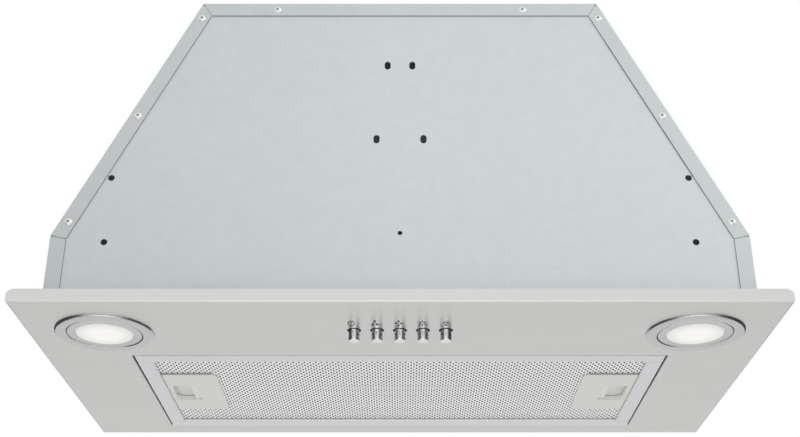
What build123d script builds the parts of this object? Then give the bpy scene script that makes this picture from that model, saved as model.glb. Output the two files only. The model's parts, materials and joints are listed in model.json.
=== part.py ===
from build123d import *
from math import atan2, cos, degrees, hypot, radians, sin, sqrt
import os

# Undermount range hood: a sheet-metal canopy standing on a brushed steel panel, with a blower inside,
# a grease filter that drops out, two lamps and five push buttons.
# Millimetres. X runs to the right, the front faces -Y and +Z is up.
# The origin is the middle of the seating plane, where the panel's lip meets the cabinet.

# Panel, the tray that shows below the cabinet
panel_width = 525.0
panel_depth = 304.0
panel_lip = 9.5
panel_sheet = 0.9
panel_bend = 1.2
lip_corner = 5.0
seat_return = 6.0
seat_corner_gap = 3.0

# Canopy
body_inset = 18.5
body_height = 245.3
knee_height = 48.0
top_width = 302.0
body_sheet = 0.8
body_flange = 11.0
wall_edge_gap = 0.4
foot_width = 10.0
foot_end_gap = 14.0
corner_relief_radius = 0.7
mitre_slit = 0.7

# Holes in the front wall, as half spacing and height
upper_slot = (9.2, 189.4)
lower_slot = (17.05, 125.9)
slot_width = 4.5
slot_height = 7.0
pilot_hole_height = 50.4
pilot_hole_radius = 1.65
screw_hole_side_margin = 37.7
screw_hole_low = 43.3
screw_hole_rise = 50.7
screw_hole_radius = 2.4

# Blind rivets
rivet_head_radius = 2.75
rivet_head_height = 1.0
rivet_shank_radius = 1.6
rivet_dimple_radius = 1.0
rivet_dimple_depth = 2.8
rivet_bulge_radius = 2.4
rivet_bulge_length = 2.0
rivet_clearance = 0.05
top_rivet_margin = 57.2
slant_rivet_ends = (14.2, 13.3)
slant_rivet_count = 3

# Weld studs and nuts
stud_radius = 2.0
stud_length = 5.6
stud_hole_clearance = 0.3
nut_across_flats = 7.0
nut_height = 3.2
thread_clearance = 0.05
side_stud_spacing = 80.0
front_stud_spacing = 150.0
studs_per_foot = 3

# Outlet collar and damper
collar_radius = 74.0
collar_wall = 1.2
collar_height = 36.0
collar_screw_margin = 7.6
collar_screw_edge = 7.4
collar_screw_angle = 40.5
ledge_width = 3.0
ledge_thickness = 1.5
ledge_rise = 10.7
damper_clearance = 0.3
flap_thickness = 1.2
flap_edge_gap = 0.8
flap_root_gap = 3.4
damper_pin_radius = 2.0
damper_pin_inset = 0.3
knuckle_radius = 3.2
knuckle_clearance = 0.05
knuckle_length = 16.0
knuckle_gap = 1.0
knuckle_count = 4

# Blower
blower_wall = 1.0
blower_half_width = 55.0
blower_rim = 6.0
blower_rim_thickness = 1.2
blower_rear_gap = 5.9
scroll_radius = 74.0
scroll_step = 6.0
scroll_drop = 127.3
inlet_radius = 50.0
outlet_screw_edge = 6.0
blower_screw_radius = 1.5
blower_screw_head_radius = 2.3
impeller_radius = 64.0
impeller_end_gap = 5.0
blade_count = 32
blade_inner_radius = 53.0
blade_thickness = 1.0
blade_sweep = 5.0
impeller_ring_width = 6.0
impeller_ring_thickness = 2.0
hub_disc_thickness = 2.0
hub_radius = 9.0
hub_length = 20.0
shaft_radius = 4.0
shaft_fit = 0.05
shaft_tail = 8.0
shaft_nut_height = 4.0
shaft_nut_flats = 13.0

# Motor and its bracket
motor_radius = 38.0
motor_start = 14.0
motor_length = 62.0
motor_nose_radius = 12.0
motor_nose_length = 5.0
motor_end_wall = 6.0
motor_edge = 4.0
bracket_ring_width = 3.0
bracket_ring_length = 6.0
bracket_fit = 0.05
bracket_arm_width = 14.0
bracket_arm_thickness = 2.0
bracket_arm_count = 3
bracket_hole_reach = 10.0
bracket_arm_end = 7.0
grommet_radius = 6.0
grommet_length = 5.0
screw_radius = 2.0
screw_clearance = 0.2
screw_head_radius = 3.8
screw_head_height = 2.2
screw_tail = 3.0

# Mains connection and capacitor, hung under the top
roof_side_margin = 37.0
roof_rear_margin = 46.0
terminal_width = 52.0
terminal_depth = 52.0
terminal_height = 26.0
terminal_wall = 2.0
terminal_block_width = 36.0
terminal_block_depth = 14.0
terminal_block_height = 12.0
gland_offset = 13.0
gland_radius = 8.0
gland_flange_radius = 11.0
gland_flange_height = 3.0
gland_bore_radius = 3.6
gland_length = 10.0
gland_clearance = 0.1
capacitor_radius = 14.0
capacitor_length = 56.0
capacitor_drop = 18.0
clip_sheet = 1.0
clip_width = 12.0
clip_foot = 12.0

# Leads
lead_radius = 2.5
motor_lead_stand = 30.0
motor_lead_offset = 16.0
motor_lead_bend = 13.0
switch_lead_offset = 14.0
switch_lead_rise = 24.0
switch_lead_bends = (30.0, 25.0, 10.0)
lamp_lead_rise = 10.5
lamp_lead_run = 20.0
lamp_lead_bend = 30.0

# Lamps
lamp_side_margin = 54.4
lamp_front_margin = 56.5
lamp_bezel_radius = 34.7
lamp_proud = 1.75
lamp_round = 1.5
lamp_edge = 0.5
lamp_joint_radius = 26.5
lamp_tube_wall = 1.2
lamp_tube_rise = 8.0
lamp_lip = 1.1
lamp_lip_height = 1.8
lamp_hole_clearance = 0.3
lamp_fit = 0.3
can_wall = 0.9
can_height = 20.6
can_roof = 2.0
can_boss_radius = 18.0
board_radius = 22.0
board_thickness = 1.5
board_rise = 6.0
chip_count = 8
chip_ring_radius = 14.0
chip_size = 3.0
chip_height = 0.8
trim_drop = 1.4
trim_dish = 0.4
trim_thickness = 1.0
lens_radius = 19.9
lens_clearance = 0.3
lens_thickness = 2.0
lens_flange_width = 2.2
lens_flange_height = 1.2
clip_count = 3
lamp_clip_sheet = 0.6
lamp_clip_width = 8.0
lamp_clip_height = 6.0
lamp_clip_reach = 4.6

# Buttons and their switch
button_count = 5
button_pitch = 16.1
button_radius = 3.9
button_reach = 8.1
button_round = 0.5
button_front_margin = 52.6
button_hole_radius = 5.0
button_guide_clearance = 0.2
button_flange_radius = 5.4
button_flange_height = 1.5
button_stem_radius = 2.2
button_stem_length = 9.7
button_stop_gap = 0.3
button_travel = 4.0
switch_end = 11.0
switch_half_depth = 11.0
switch_floor = 1.6
switch_wall = 1.5
switch_height = 23.0
switch_cover_thickness = 1.5
contact_gap = 0.7
contact_side_gap = 0.5
contact_roof = 2.0
ear_length = 13.0
ear_width = 14.0
ear_thickness = 3.0
ear_hole = 7.5

# Grease filter, set in the panel's opening
filter_side_margin = 64.15
filter_front_margin = 104.95
filter_rear_margin = 21.2
opening_wall = 14.0
filter_end_gap = 1.0
filter_edge_gap = 1.0
filter_height = 9.0
filter_border = 12.0
filter_front_border = 13.6
filter_sheet = 1.0
filter_bend = 1.2
filter_hem = 2.5
filter_skin = 0.6
filter_top_sheet = 0.8
filter_fit = 0.3
net_columns = 24
net_rows = 11
net_hole_radius = 4.6
net_margin = 9.0

# Filter latches
latch_length = 88.0
latch_width = 42.6
latch_shift = 1.8
latch_recess = 1.1
latch_height = 8.6
latch_wall = 1.0
latch_corner = 6.0
latch_round = 0.6
latch_fit = 0.3
window_outer_gap = 3.9
window_width = 20.0
window_length = 36.0
window_corner = 3.0
tab_width = 6.0
tab_length = 35.0
pocket_depth = 5.0
pocket_corner = 6.0
web_thickness = 1.5
latch_rib_width = 2.0
latch_rib_spacing = 28.0
tongue_width = 20.0
tongue_top = 7.3
tongue_bottom = 2.6
tongue_reach = 1.8
tongue_slope = 2.1
latch_travel = 6.0
latch_slot_clearance = 0.3

# Places that follow from the sizes above
half_width = panel_width / 2
half_depth = panel_depth / 2
underside = -panel_lip
floor_z = underside + panel_sheet
body_half = half_width - body_inset
body_half_depth = half_depth - body_inset
wall_outer = body_half_depth - body_sheet
wall_inner = wall_outer - body_sheet
roof_z = body_height - body_sheet
top_half = top_width / 2
slant_run = body_half - top_half
slant_rise = body_height - knee_height
slant_length = hypot(slant_run, slant_rise)
foot_top = floor_z + body_sheet

lamp_x = half_width - lamp_side_margin
lamp_y = lamp_front_margin - half_depth
lamp_tube_radius = lamp_joint_radius + lamp_lip + lamp_tube_wall
lamp_hole_radius = lamp_tube_radius + lamp_hole_clearance

button_y = button_front_margin - half_depth
button_places = [((i - (button_count - 1) / 2) * button_pitch, button_y) for i in range(button_count)]
switch_half = (button_count - 1) / 2 * button_pitch + switch_end
ear_stud_x = switch_half + ear_hole

opening_half = half_width - filter_side_margin
opening_front = filter_front_margin - half_depth
opening_rear = half_depth - filter_rear_margin
opening_depth = opening_rear - opening_front
filter_y = (opening_front + opening_rear) / 2
filter_half = opening_half - filter_end_gap
filter_depth = opening_depth - 2 * filter_edge_gap
filter_inner_half = filter_half - filter_border
latch_y = filter_y + latch_shift
latch_outer = filter_inner_half - latch_fit
latch_inner = latch_outer - latch_width
window_outer = latch_outer - window_outer_gap
window_inner = window_outer - window_width
tongue_root = latch_outer + latch_travel - latch_wall
tongue_tip = opening_half + tongue_reach

scroll_y = wall_inner - blower_rear_gap - blower_rim - scroll_radius
scroll_z = body_height - scroll_drop
outlet_half = (scroll_radius + 3 * scroll_step) / 2
outlet_y = scroll_y - outlet_half
blower_outer = blower_half_width + blower_wall
outlet_corner = hypot(blower_outer, outlet_half + blower_wall)
outlet_screw_ring = max(collar_radius, outlet_corner) + collar_screw_margin
outlet_screw_x = outlet_screw_ring * cos(radians(collar_screw_angle))
outlet_screw_y = outlet_screw_ring * sin(radians(collar_screw_angle))
collar_flange_radius = outlet_screw_ring + collar_screw_edge
fan_plane = Plane(origin=(0, scroll_y, scroll_z), x_dir=(0, 1, 0), z_dir=(1, 0, 0))

terminal_x = top_half - roof_side_margin
terminal_y = wall_inner - roof_rear_margin

ledge_top = body_height + ledge_rise + ledge_thickness
damper_z = ledge_top + damper_clearance + flap_thickness / 2
collar_bore = collar_radius - collar_wall

os.makedirs("parts", exist_ok=True)


def save(part, label):
    """Name a finished piece and write it."""
    part.label = label
    export_step(part, f"parts/{label}.step")


def block(x_range, y_range, z_range, mode=Mode.ADD):
    """Add or cut a box given by its limits along each axis."""
    limits = (x_range, y_range, z_range)
    centre = tuple((low + high) / 2 for low, high in limits)
    sides = [high - low for low, high in limits]
    with Locations(centre):
        Box(*sides, mode=mode)


def body_outline(inset):
    """Corners of the canopy's front outline, moved inwards by inset and open at the bottom."""
    shift_x = inset * slant_rise / slant_length
    shift_z = inset * slant_run / slant_length
    side_x = body_half - inset
    knee_z = knee_height - shift_z + (inset - shift_x) * slant_rise / slant_run
    top_x = top_half - shift_x + (inset - shift_z) * slant_run / slant_rise
    top_z = body_height - inset
    right = [(top_x, top_z), (side_x, knee_z), (side_x, floor_z)]
    return [(-x, z) for x, z in reversed(right)] + right


def rivet_places():
    """Rivets run along the middle of the flange: two on the top, the rest down the slants."""
    inner = body_outline(body_flange / 2)
    top_x, top_z = inner[3]
    knee_x, knee_z = inner[4]
    reach = hypot(knee_x - top_x, knee_z - top_z)
    first, last = slant_rivet_ends[0] - body_flange / 2, reach - slant_rivet_ends[1]
    places = [(top_half - top_rivet_margin, top_z)]
    for i in range(slant_rivet_count):
        share = (first + (last - first) * i / (slant_rivet_count - 1)) / reach
        places.append((top_x + (knee_x - top_x) * share, top_z + (knee_z - top_z) * share))
    return [(side * x, z) for x, z in places for side in (-1, 1)]


foot_half_depth = body_half_depth - foot_end_gap
front_foot_half = body_half - body_flange - foot_end_gap
foot_steps = [i - (studs_per_foot - 1) / 2 for i in range(studs_per_foot)]
side_studs = [
    (side * (body_half + foot_width / 2), step * side_stud_spacing) for side in (-1, 1) for step in foot_steps
]
front_studs = [(step * front_stud_spacing, -body_half_depth - foot_width / 2) for step in foot_steps]
rear_studs = [(x, -y) for x, y in front_studs]
switch_studs = [(side * ear_stud_x, button_y) for side in (-1, 1)]
foot_studs = side_studs + front_studs + rear_studs
stud_hole_radius = stud_radius + stud_hole_clearance
rivet_hole_radius = rivet_shank_radius + rivet_clearance


def lip_flap(plane, length):
    """One upturned side of the panel, with its two upper corners rounded."""
    with BuildSketch(plane) as flap:
        with Locations((0, underside / 2)):
            Rectangle(length, panel_lip)
        fillet(flap.vertices().group_by(Axis.Y)[-1], lip_corner)
    return flap.sketch


# Panel
with BuildPart() as base_panel:
    with BuildSketch(Plane.XY.offset(underside)):
        Rectangle(panel_width, panel_depth)
        with Locations((0, filter_y)):
            Rectangle(2 * opening_half, opening_depth, mode=Mode.SUBTRACT)
        with Locations((-lamp_x, lamp_y), (lamp_x, lamp_y)):
            Circle(lamp_hole_radius, mode=Mode.SUBTRACT)
        with Locations(*button_places):
            Circle(button_hole_radius, mode=Mode.SUBTRACT)
    extrude(amount=panel_sheet)
    for side in (-1, 1):
        extrude(lip_flap(Plane.XZ.offset(side * half_depth), panel_width), amount=-side * panel_sheet)
        extrude(lip_flap(Plane.YZ.offset(side * half_width), panel_depth), amount=-side * panel_sheet)
    fillet(base_panel.faces().sort_by(Axis.Z)[0].outer_wire().edges(), panel_bend)
    seat_half_width = half_width - lip_corner - seat_corner_gap
    seat_half_depth = half_depth - lip_corner - seat_corner_gap
    for side in (-1, 1):
        across = sorted((side * half_width, side * (half_width - seat_return)))
        along = sorted((side * half_depth, side * (half_depth - seat_return)))
        block(across, (-seat_half_depth, seat_half_depth), (-panel_sheet, 0))
        block((-seat_half_width, seat_half_width), along, (-panel_sheet, 0))
    with BuildSketch(Plane.XY.offset(underside)):
        with Locations((0, filter_y)):
            Rectangle(2 * (opening_half + panel_sheet), opening_depth + 2 * panel_sheet)
            Rectangle(2 * opening_half, opening_depth, mode=Mode.SUBTRACT)
    extrude(amount=opening_wall)
    opening_edge = base_panel.faces().sort_by(Axis.Z)[0].inner_wires().sort_by(SortBy.LENGTH)[-1]
    fillet(opening_edge.edges(), panel_bend)
    latch_slot_half = tongue_width / 2 + latch_slot_clearance
    block(
        (-opening_half - 2 * panel_sheet, opening_half + 2 * panel_sheet),
        (latch_y - latch_slot_half, latch_y + latch_slot_half),
        (underside + tongue_bottom - latch_slot_clearance, underside + tongue_top + latch_slot_clearance),
        mode=Mode.SUBTRACT,
    )
save(base_panel.part, "base_panel")

# Canopy: both sides, both slants and the top in one bent sheet, flanged at the front and the rear
with BuildPart() as canopy_wrap:
    with BuildSketch(Plane.XZ):
        Polygon(*body_outline(0), align=None)
    extrude(amount=body_half_depth, both=True)
    with BuildSketch(Plane.XZ):
        Polygon(*body_outline(body_sheet), align=None)
    extrude(amount=wall_outer, both=True, mode=Mode.SUBTRACT)
    with BuildSketch(Plane.XZ):
        Polygon(*body_outline(body_flange), align=None)
    extrude(amount=body_half_depth, both=True, mode=Mode.SUBTRACT)
    with BuildSketch(Plane.XZ):
        slit_ends = zip(body_outline(body_flange + mitre_slit)[1:5], body_outline(2 * body_sheet)[1:5])
        for (inner_x, inner_z), (outer_x, outer_z) in slit_ends:
            turn = degrees(atan2(outer_z - inner_z, outer_x - inner_x))
            with Locations(((inner_x + outer_x) / 2, (inner_z + outer_z) / 2)):
                Rectangle(hypot(outer_x - inner_x, outer_z - inner_z), mitre_slit, rotation=turn)
            with Locations((outer_x, outer_z)):
                Circle(corner_relief_radius)
        with Locations(*rivet_places()):
            Circle(rivet_hole_radius)
    extrude(amount=body_half_depth, both=True, mode=Mode.SUBTRACT)
    for side in (-1, 1):
        across = sorted((side * (body_half - body_sheet), side * (body_half + foot_width)))
        block(across, (-foot_half_depth, foot_half_depth), (floor_z, foot_top))
    with Locations(*[(x, y, floor_z) for x, y in side_studs]):
        Cylinder(stud_hole_radius, 4 * body_sheet, mode=Mode.SUBTRACT)
    with BuildSketch(Plane.XY.offset(roof_z)):
        with Locations((0, outlet_y)):
            Circle(collar_bore)
        with Locations((terminal_x + gland_offset, terminal_y + gland_offset)):
            Circle(gland_radius + gland_clearance)
        with Locations((0, outlet_y)):
            with GridLocations(2 * outlet_screw_x, 2 * outlet_screw_y, 2, 2):
                Circle(screw_radius + screw_clearance)
    extrude(amount=body_sheet, mode=Mode.SUBTRACT)
save(canopy_wrap.part, "canopy_wrap")


def end_wall(side):
    """The front (-1) or rear (1) wall, behind the canopy's flange, with its outward foot."""
    with BuildPart() as wall:
        with BuildSketch(Plane.XZ.offset(-side * wall_outer)):
            Polygon(*body_outline(body_sheet + wall_edge_gap), align=None)
            with Locations(*rivet_places()):
                Circle(rivet_hole_radius, mode=Mode.SUBTRACT)
        extrude(amount=side * body_sheet)
        along = sorted((side * wall_inner, side * (body_half_depth + foot_width)))
        block((-front_foot_half, front_foot_half), along, (floor_z, foot_top))
        with Locations(*[(x, y, floor_z) for x, y in front_studs + rear_studs]):
            Cylinder(stud_hole_radius, 4 * body_sheet, mode=Mode.SUBTRACT)
    return wall.part


def mirrored(places):
    """Each place and its twin on the other side."""
    return [(side * x, z) for x, z in places for side in (-1, 1)]


rear_wall = end_wall(1)
save(rear_wall, "rear_wall")

screw_hole_x = body_half - screw_hole_side_margin
screw_holes = [(screw_hole_x, screw_hole_low + rise) for rise in (0, screw_hole_rise)]
with BuildPart() as front_wall:
    add(end_wall(-1))
    with BuildSketch(Plane.XZ.offset(wall_inner)):
        with Locations(*mirrored([upper_slot, lower_slot])):
            SlotOverall(slot_height, slot_width, rotation=90)
        with Locations((0, pilot_hole_height)):
            Circle(pilot_hole_radius)
        with Locations(*mirrored(screw_holes)):
            Circle(screw_hole_radius)
    extrude(amount=body_sheet, mode=Mode.SUBTRACT)
save(front_wall.part, "front_wall")

# One blind rivet, its head on the plane Y = 0 and its tail towards +Y
with BuildPart() as rivet:
    with BuildSketch():
        with BuildLine():
            grip = 2 * body_sheet
            tail = grip + rivet_bulge_length
            Polyline(
                (0, rivet_dimple_depth - rivet_head_height),
                (rivet_dimple_radius, rivet_dimple_depth - rivet_head_height),
                (rivet_dimple_radius, -rivet_head_height),
            )
            RadiusArc((rivet_dimple_radius, -rivet_head_height), (rivet_head_radius, 0), -rivet_head_radius)
            Polyline(
                (rivet_head_radius, 0),
                (rivet_shank_radius, 0),
                (rivet_shank_radius, grip),
                (rivet_bulge_radius, grip),
                (rivet_bulge_radius, tail),
                (0, tail),
                (0, rivet_dimple_depth - rivet_head_height),
            )
        make_face()
    revolve(axis=Axis.Y)

with BuildPart() as rivets_front:
    with Locations(*[(x, -body_half_depth, z) for x, z in rivet_places()]):
        add(rivet.part)
save(rivets_front.part, "rivets_front")
save(mirror(rivets_front.part, about=Plane.XZ), "rivets_rear")

# Weld studs on the panel, with a nut on each
with BuildPart() as base_studs:
    with Locations(*[(x, y, floor_z) for x, y in foot_studs]):
        Cylinder(stud_radius, stud_length, align=(Align.CENTER, Align.CENTER, Align.MIN))
    with Locations(*[(x, y, floor_z) for x, y in switch_studs]):
        Cylinder(stud_radius, stud_length + ear_thickness, align=(Align.CENTER, Align.CENTER, Align.MIN))
save(base_studs.part, "base_studs")

with BuildPart() as base_nuts:
    for places, seat in ((foot_studs, foot_top), (switch_studs, floor_z + ear_thickness)):
        with BuildSketch(Plane.XY.offset(seat)):
            with Locations(*places):
                RegularPolygon(nut_across_flats / 2, 6, major_radius=False)
                Circle(stud_radius + thread_clearance, mode=Mode.SUBTRACT)
        extrude(amount=nut_height)
save(base_nuts.part, "base_nuts")

# Outlet collar on the top, with the ledge that the damper flaps lie on
with BuildPart() as outlet_collar:
    with BuildSketch(Plane.XY.offset(body_height)):
        with Locations((0, outlet_y)):
            Circle(collar_flange_radius)
            Circle(collar_bore, mode=Mode.SUBTRACT)
            with GridLocations(2 * outlet_screw_x, 2 * outlet_screw_y, 2, 2):
                Circle(screw_radius + screw_clearance, mode=Mode.SUBTRACT)
    extrude(amount=collar_wall)
    with BuildSketch(Plane.XY.offset(body_height)):
        with Locations((0, outlet_y)):
            Circle(collar_radius)
            Circle(collar_bore, mode=Mode.SUBTRACT)
    extrude(amount=collar_height)
    with BuildSketch(Plane.XY.offset(body_height + ledge_rise)):
        with Locations((0, outlet_y)):
            Circle(collar_bore)
            Circle(collar_bore - ledge_width, mode=Mode.SUBTRACT)
    extrude(amount=ledge_thickness)
    with Locations(Location((0, outlet_y, damper_z), (90, 0, 0))):
        Cylinder(damper_pin_radius + knuckle_clearance, 3 * collar_radius, mode=Mode.SUBTRACT)
save(outlet_collar.part, "outlet_collar")

with BuildPart() as damper_pin:
    with Locations(Location((0, outlet_y, damper_z), (90, 0, 0))):
        Cylinder(damper_pin_radius, 2 * (collar_radius - damper_pin_inset))
save(damper_pin.part, "damper_pin")


def damper_flap(side):
    """A half-moon flap, left (-1) or right (1), with every second knuckle on the damper pin."""
    pitch = knuckle_length + knuckle_gap
    knuckles = [(i - (knuckle_count - 1) / 2) * pitch for i in range(knuckle_count)]
    own = knuckles[0::2] if side < 0 else knuckles[1::2]
    other = knuckles[1::2] if side < 0 else knuckles[0::2]
    with BuildPart() as flap:
        with BuildSketch(Plane.XY.offset(damper_z - flap_thickness / 2)):
            with Locations((0, outlet_y)):
                Circle(collar_bore - flap_edge_gap)
            with Locations((-side * (collar_radius - flap_root_gap), outlet_y)):
                Rectangle(2 * collar_radius, 2 * collar_radius, mode=Mode.SUBTRACT)
            with Locations(*[(0, outlet_y + y) for y in other]):
                Rectangle(
                    2 * (knuckle_radius + damper_clearance + knuckle_gap),
                    knuckle_length + knuckle_gap,
                    mode=Mode.SUBTRACT,
                )
        extrude(amount=flap_thickness)
        for y in own:
            y_limits = (outlet_y + y - knuckle_length / 2, outlet_y + y + knuckle_length / 2)
            z_limits = (damper_z - flap_thickness / 2, damper_z + flap_thickness / 2)
            block(sorted((0, side * 2 * flap_root_gap)), y_limits, z_limits)
            with Locations(Location((0, outlet_y + y, damper_z), (90, 0, 0))):
                Cylinder(knuckle_radius, knuckle_length)
        with Locations(Location((0, outlet_y, damper_z), (90, 0, 0))):
            Cylinder(damper_pin_radius + knuckle_clearance, 3 * collar_radius, mode=Mode.SUBTRACT)
    return flap.part


save(damper_flap(-1), "damper_flap_left")
save(damper_flap(1), "damper_flap_right")


def scroll_face(grow):
    """The blower's inside outline at X = 0, moved outwards by grow.

    Three quarter arcs step out from the cut-off at the rear to the outlet's front wall, which runs
    straight up to the roof beside the outlet's rear wall.
    """
    cut_off = scroll_z + sqrt((scroll_radius + grow) ** 2 - grow**2)
    front = scroll_y - 2 * outlet_half - grow
    start = degrees(atan2(cut_off - scroll_z, grow))
    with BuildSketch(Plane.YZ) as face:
        with BuildLine():
            Line((scroll_y + grow, roof_z), (scroll_y + grow, cut_off))
            CenterArc((scroll_y, scroll_z), scroll_radius + grow, start, -start)
            CenterArc((scroll_y - scroll_step, scroll_z), scroll_radius + scroll_step + grow, 0, -90)
            low_radius = scroll_radius + 2 * scroll_step + grow
            CenterArc((scroll_y - scroll_step, scroll_z + scroll_step), low_radius, -90, -90)
            Polyline((front, scroll_z + scroll_step), (front, roof_z), (scroll_y + grow, roof_z))
        make_face()
    return face.sketch


bracket_hole_ring = inlet_radius + bracket_hole_reach
rim_middle = (blower_wall + blower_rim) / 2
rim_screws = [
    (scroll_y + scroll_radius + rim_middle, scroll_z),
    (scroll_y - scroll_step, scroll_z - scroll_radius - scroll_step - rim_middle),
    (outlet_y - outlet_half - rim_middle, scroll_z + scroll_step),
]


def blower_shell(side):
    """The left (-1) or right (1) half of the blower's casing, with its rim, inlet and outlet flange."""
    with BuildPart() as shell:
        extrude(scroll_face(blower_wall), amount=side * blower_outer)
        extrude(scroll_face(blower_rim), amount=side * blower_rim_thickness)
        flange_x = sorted((0, side * (outlet_screw_x + outlet_screw_edge)))
        flange_half = outlet_screw_y + outlet_screw_edge
        block(flange_x, (outlet_y - flange_half, outlet_y + flange_half), (roof_z - blower_wall, roof_z))
        extrude(scroll_face(0), amount=side * blower_half_width, mode=Mode.SUBTRACT)
        with BuildSketch(fan_plane.offset(side * blower_half_width)):
            Circle(inlet_radius)
            with PolarLocations(bracket_hole_ring, bracket_arm_count):
                Circle(screw_radius + screw_clearance)
        extrude(amount=side * blower_wall, mode=Mode.SUBTRACT)
        with Locations((0, outlet_y, roof_z)):
            with GridLocations(2 * outlet_screw_x, 2 * outlet_screw_y, 2, 2):
                Cylinder(screw_radius + screw_clearance, 4 * blower_wall, mode=Mode.SUBTRACT)
        with BuildSketch(Plane.YZ):
            with Locations(*rim_screws):
                Circle(blower_screw_radius + screw_clearance)
        extrude(amount=side * blower_rim_thickness, mode=Mode.SUBTRACT)
    return shell.part


save(blower_shell(-1), "blower_shell_left")
save(blower_shell(1), "blower_shell_right")

with BuildPart() as blower_screws:
    with Locations(*[Location((0, y, z), (0, 90, 0)) for y, z in rim_screws]):
        Cylinder(blower_screw_radius, 2 * (blower_rim_thickness + screw_tail))
    with Locations(*[Location((blower_rim_thickness, y, z), (0, 90, 0)) for y, z in rim_screws]):
        Cylinder(blower_screw_head_radius, screw_head_height, align=(Align.CENTER, Align.CENTER, Align.MIN))
save(blower_screws.part, "blower_screws")

collar_seat = body_height + collar_wall
collar_grip = collar_wall + body_sheet + blower_wall
with BuildPart() as collar_screws:
    with Locations((0, outlet_y, collar_seat)):
        with GridLocations(2 * outlet_screw_x, 2 * outlet_screw_y, 2, 2):
            Cylinder(screw_head_radius, screw_head_height, align=(Align.CENTER, Align.CENTER, Align.MIN))
            Cylinder(screw_radius, collar_grip + screw_tail, align=(Align.CENTER, Align.CENTER, Align.MAX))
save(collar_screws.part, "collar_screws")

# Impeller: blades between two end rings, carried by a disc and a hub
impeller_half = blower_half_width - impeller_end_gap
with BuildSketch() as blade:
    with BuildLine():
        middle = (blade_inner_radius + impeller_radius) / 2
        ThreePointArc((blade_inner_radius, 0), (middle, blade_sweep / 4), (impeller_radius, blade_sweep))
        Line((impeller_radius, blade_sweep), (impeller_radius, blade_sweep + blade_thickness))
        ThreePointArc(
            (impeller_radius, blade_sweep + blade_thickness),
            (middle, blade_sweep / 4 + blade_thickness),
            (blade_inner_radius, blade_thickness),
        )
        Line((blade_inner_radius, blade_thickness), (blade_inner_radius, 0))
    make_face()

with BuildPart() as impeller:
    with BuildSketch(fan_plane.offset(-impeller_half)):
        with PolarLocations(0, blade_count):
            add(blade.sketch)
    extrude(amount=2 * impeller_half)
    for start in (-impeller_half, impeller_half - impeller_ring_thickness):
        with BuildSketch(fan_plane.offset(start)):
            Circle(impeller_radius + blade_thickness)
            Circle(impeller_radius - impeller_ring_width, mode=Mode.SUBTRACT)
        extrude(amount=impeller_ring_thickness)
    with BuildSketch(fan_plane.offset(-hub_disc_thickness)):
        Circle(impeller_radius)
    extrude(amount=hub_disc_thickness)
    with BuildSketch(fan_plane.offset(-hub_length)):
        Circle(hub_radius)
    extrude(amount=hub_length)
    with BuildSketch(fan_plane.offset(-hub_length)):
        Circle(shaft_radius + thread_clearance)
    extrude(amount=2 * hub_length, mode=Mode.SUBTRACT)
save(impeller.part, "impeller")

motor_end = motor_start + motor_length
shaft_end = motor_end - motor_end_wall
with BuildPart() as motor_shaft:
    with BuildSketch(fan_plane.offset(-hub_length - shaft_tail)):
        Circle(shaft_radius)
    extrude(amount=hub_length + shaft_tail + shaft_end)
save(motor_shaft.part, "motor_shaft")

with BuildPart() as shaft_nut:
    with BuildSketch(fan_plane.offset(-hub_length - shaft_nut_height)):
        RegularPolygon(shaft_nut_flats / 2, 6, major_radius=False)
        Circle(shaft_radius + thread_clearance, mode=Mode.SUBTRACT)
    extrude(amount=shaft_nut_height)
save(shaft_nut.part, "shaft_nut")

with BuildPart() as motor_can:
    with BuildSketch(fan_plane.offset(motor_start)):
        Circle(motor_radius)
    extrude(amount=motor_length)
    fillet(motor_can.edges().filter_by(GeomType.CIRCLE), motor_edge)
    with BuildSketch(fan_plane.offset(motor_start - motor_nose_length)):
        Circle(motor_nose_radius)
    extrude(amount=motor_nose_length)
    with BuildSketch(fan_plane.offset(motor_start - motor_nose_length)):
        Circle(shaft_radius + shaft_fit)
    extrude(amount=shaft_end - motor_start + motor_nose_length, mode=Mode.SUBTRACT)
save(motor_can.part, "motor_can")

arm_seat = blower_outer + grommet_length
with BuildPart() as motor_bracket:
    with BuildSketch(fan_plane.offset(arm_seat)):
        Circle(motor_radius + bracket_ring_width)
        arm_reach = bracket_hole_ring + bracket_arm_end
        with PolarLocations(arm_reach / 2, bracket_arm_count):
            Rectangle(arm_reach, bracket_arm_width)
        Circle(motor_radius + bracket_fit, mode=Mode.SUBTRACT)
        with PolarLocations(bracket_hole_ring, bracket_arm_count):
            Circle(screw_radius + screw_clearance, mode=Mode.SUBTRACT)
    extrude(amount=bracket_arm_thickness)
    with BuildSketch(fan_plane.offset(arm_seat)):
        Circle(motor_radius + bracket_ring_width)
        Circle(motor_radius + bracket_fit, mode=Mode.SUBTRACT)
    extrude(amount=bracket_ring_length)
save(motor_bracket.part, "motor_bracket")

with BuildPart() as bracket_grommets:
    with BuildSketch(fan_plane.offset(blower_outer)):
        with PolarLocations(bracket_hole_ring, bracket_arm_count):
            Circle(grommet_radius)
            Circle(screw_radius + screw_clearance, mode=Mode.SUBTRACT)
    extrude(amount=grommet_length)
save(bracket_grommets.part, "bracket_grommets")

screw_seat = arm_seat + bracket_arm_thickness
bracket_grip = screw_seat - blower_half_width
with BuildPart() as bracket_screws:
    with BuildSketch(fan_plane.offset(screw_seat)):
        with PolarLocations(bracket_hole_ring, bracket_arm_count):
            Circle(screw_head_radius)
    extrude(amount=screw_head_height)
    with BuildSketch(fan_plane.offset(screw_seat)):
        with PolarLocations(bracket_hole_ring, bracket_arm_count):
            Circle(screw_radius)
    extrude(amount=-bracket_grip - blower_wall)
save(bracket_screws.part, "bracket_screws")

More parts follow.
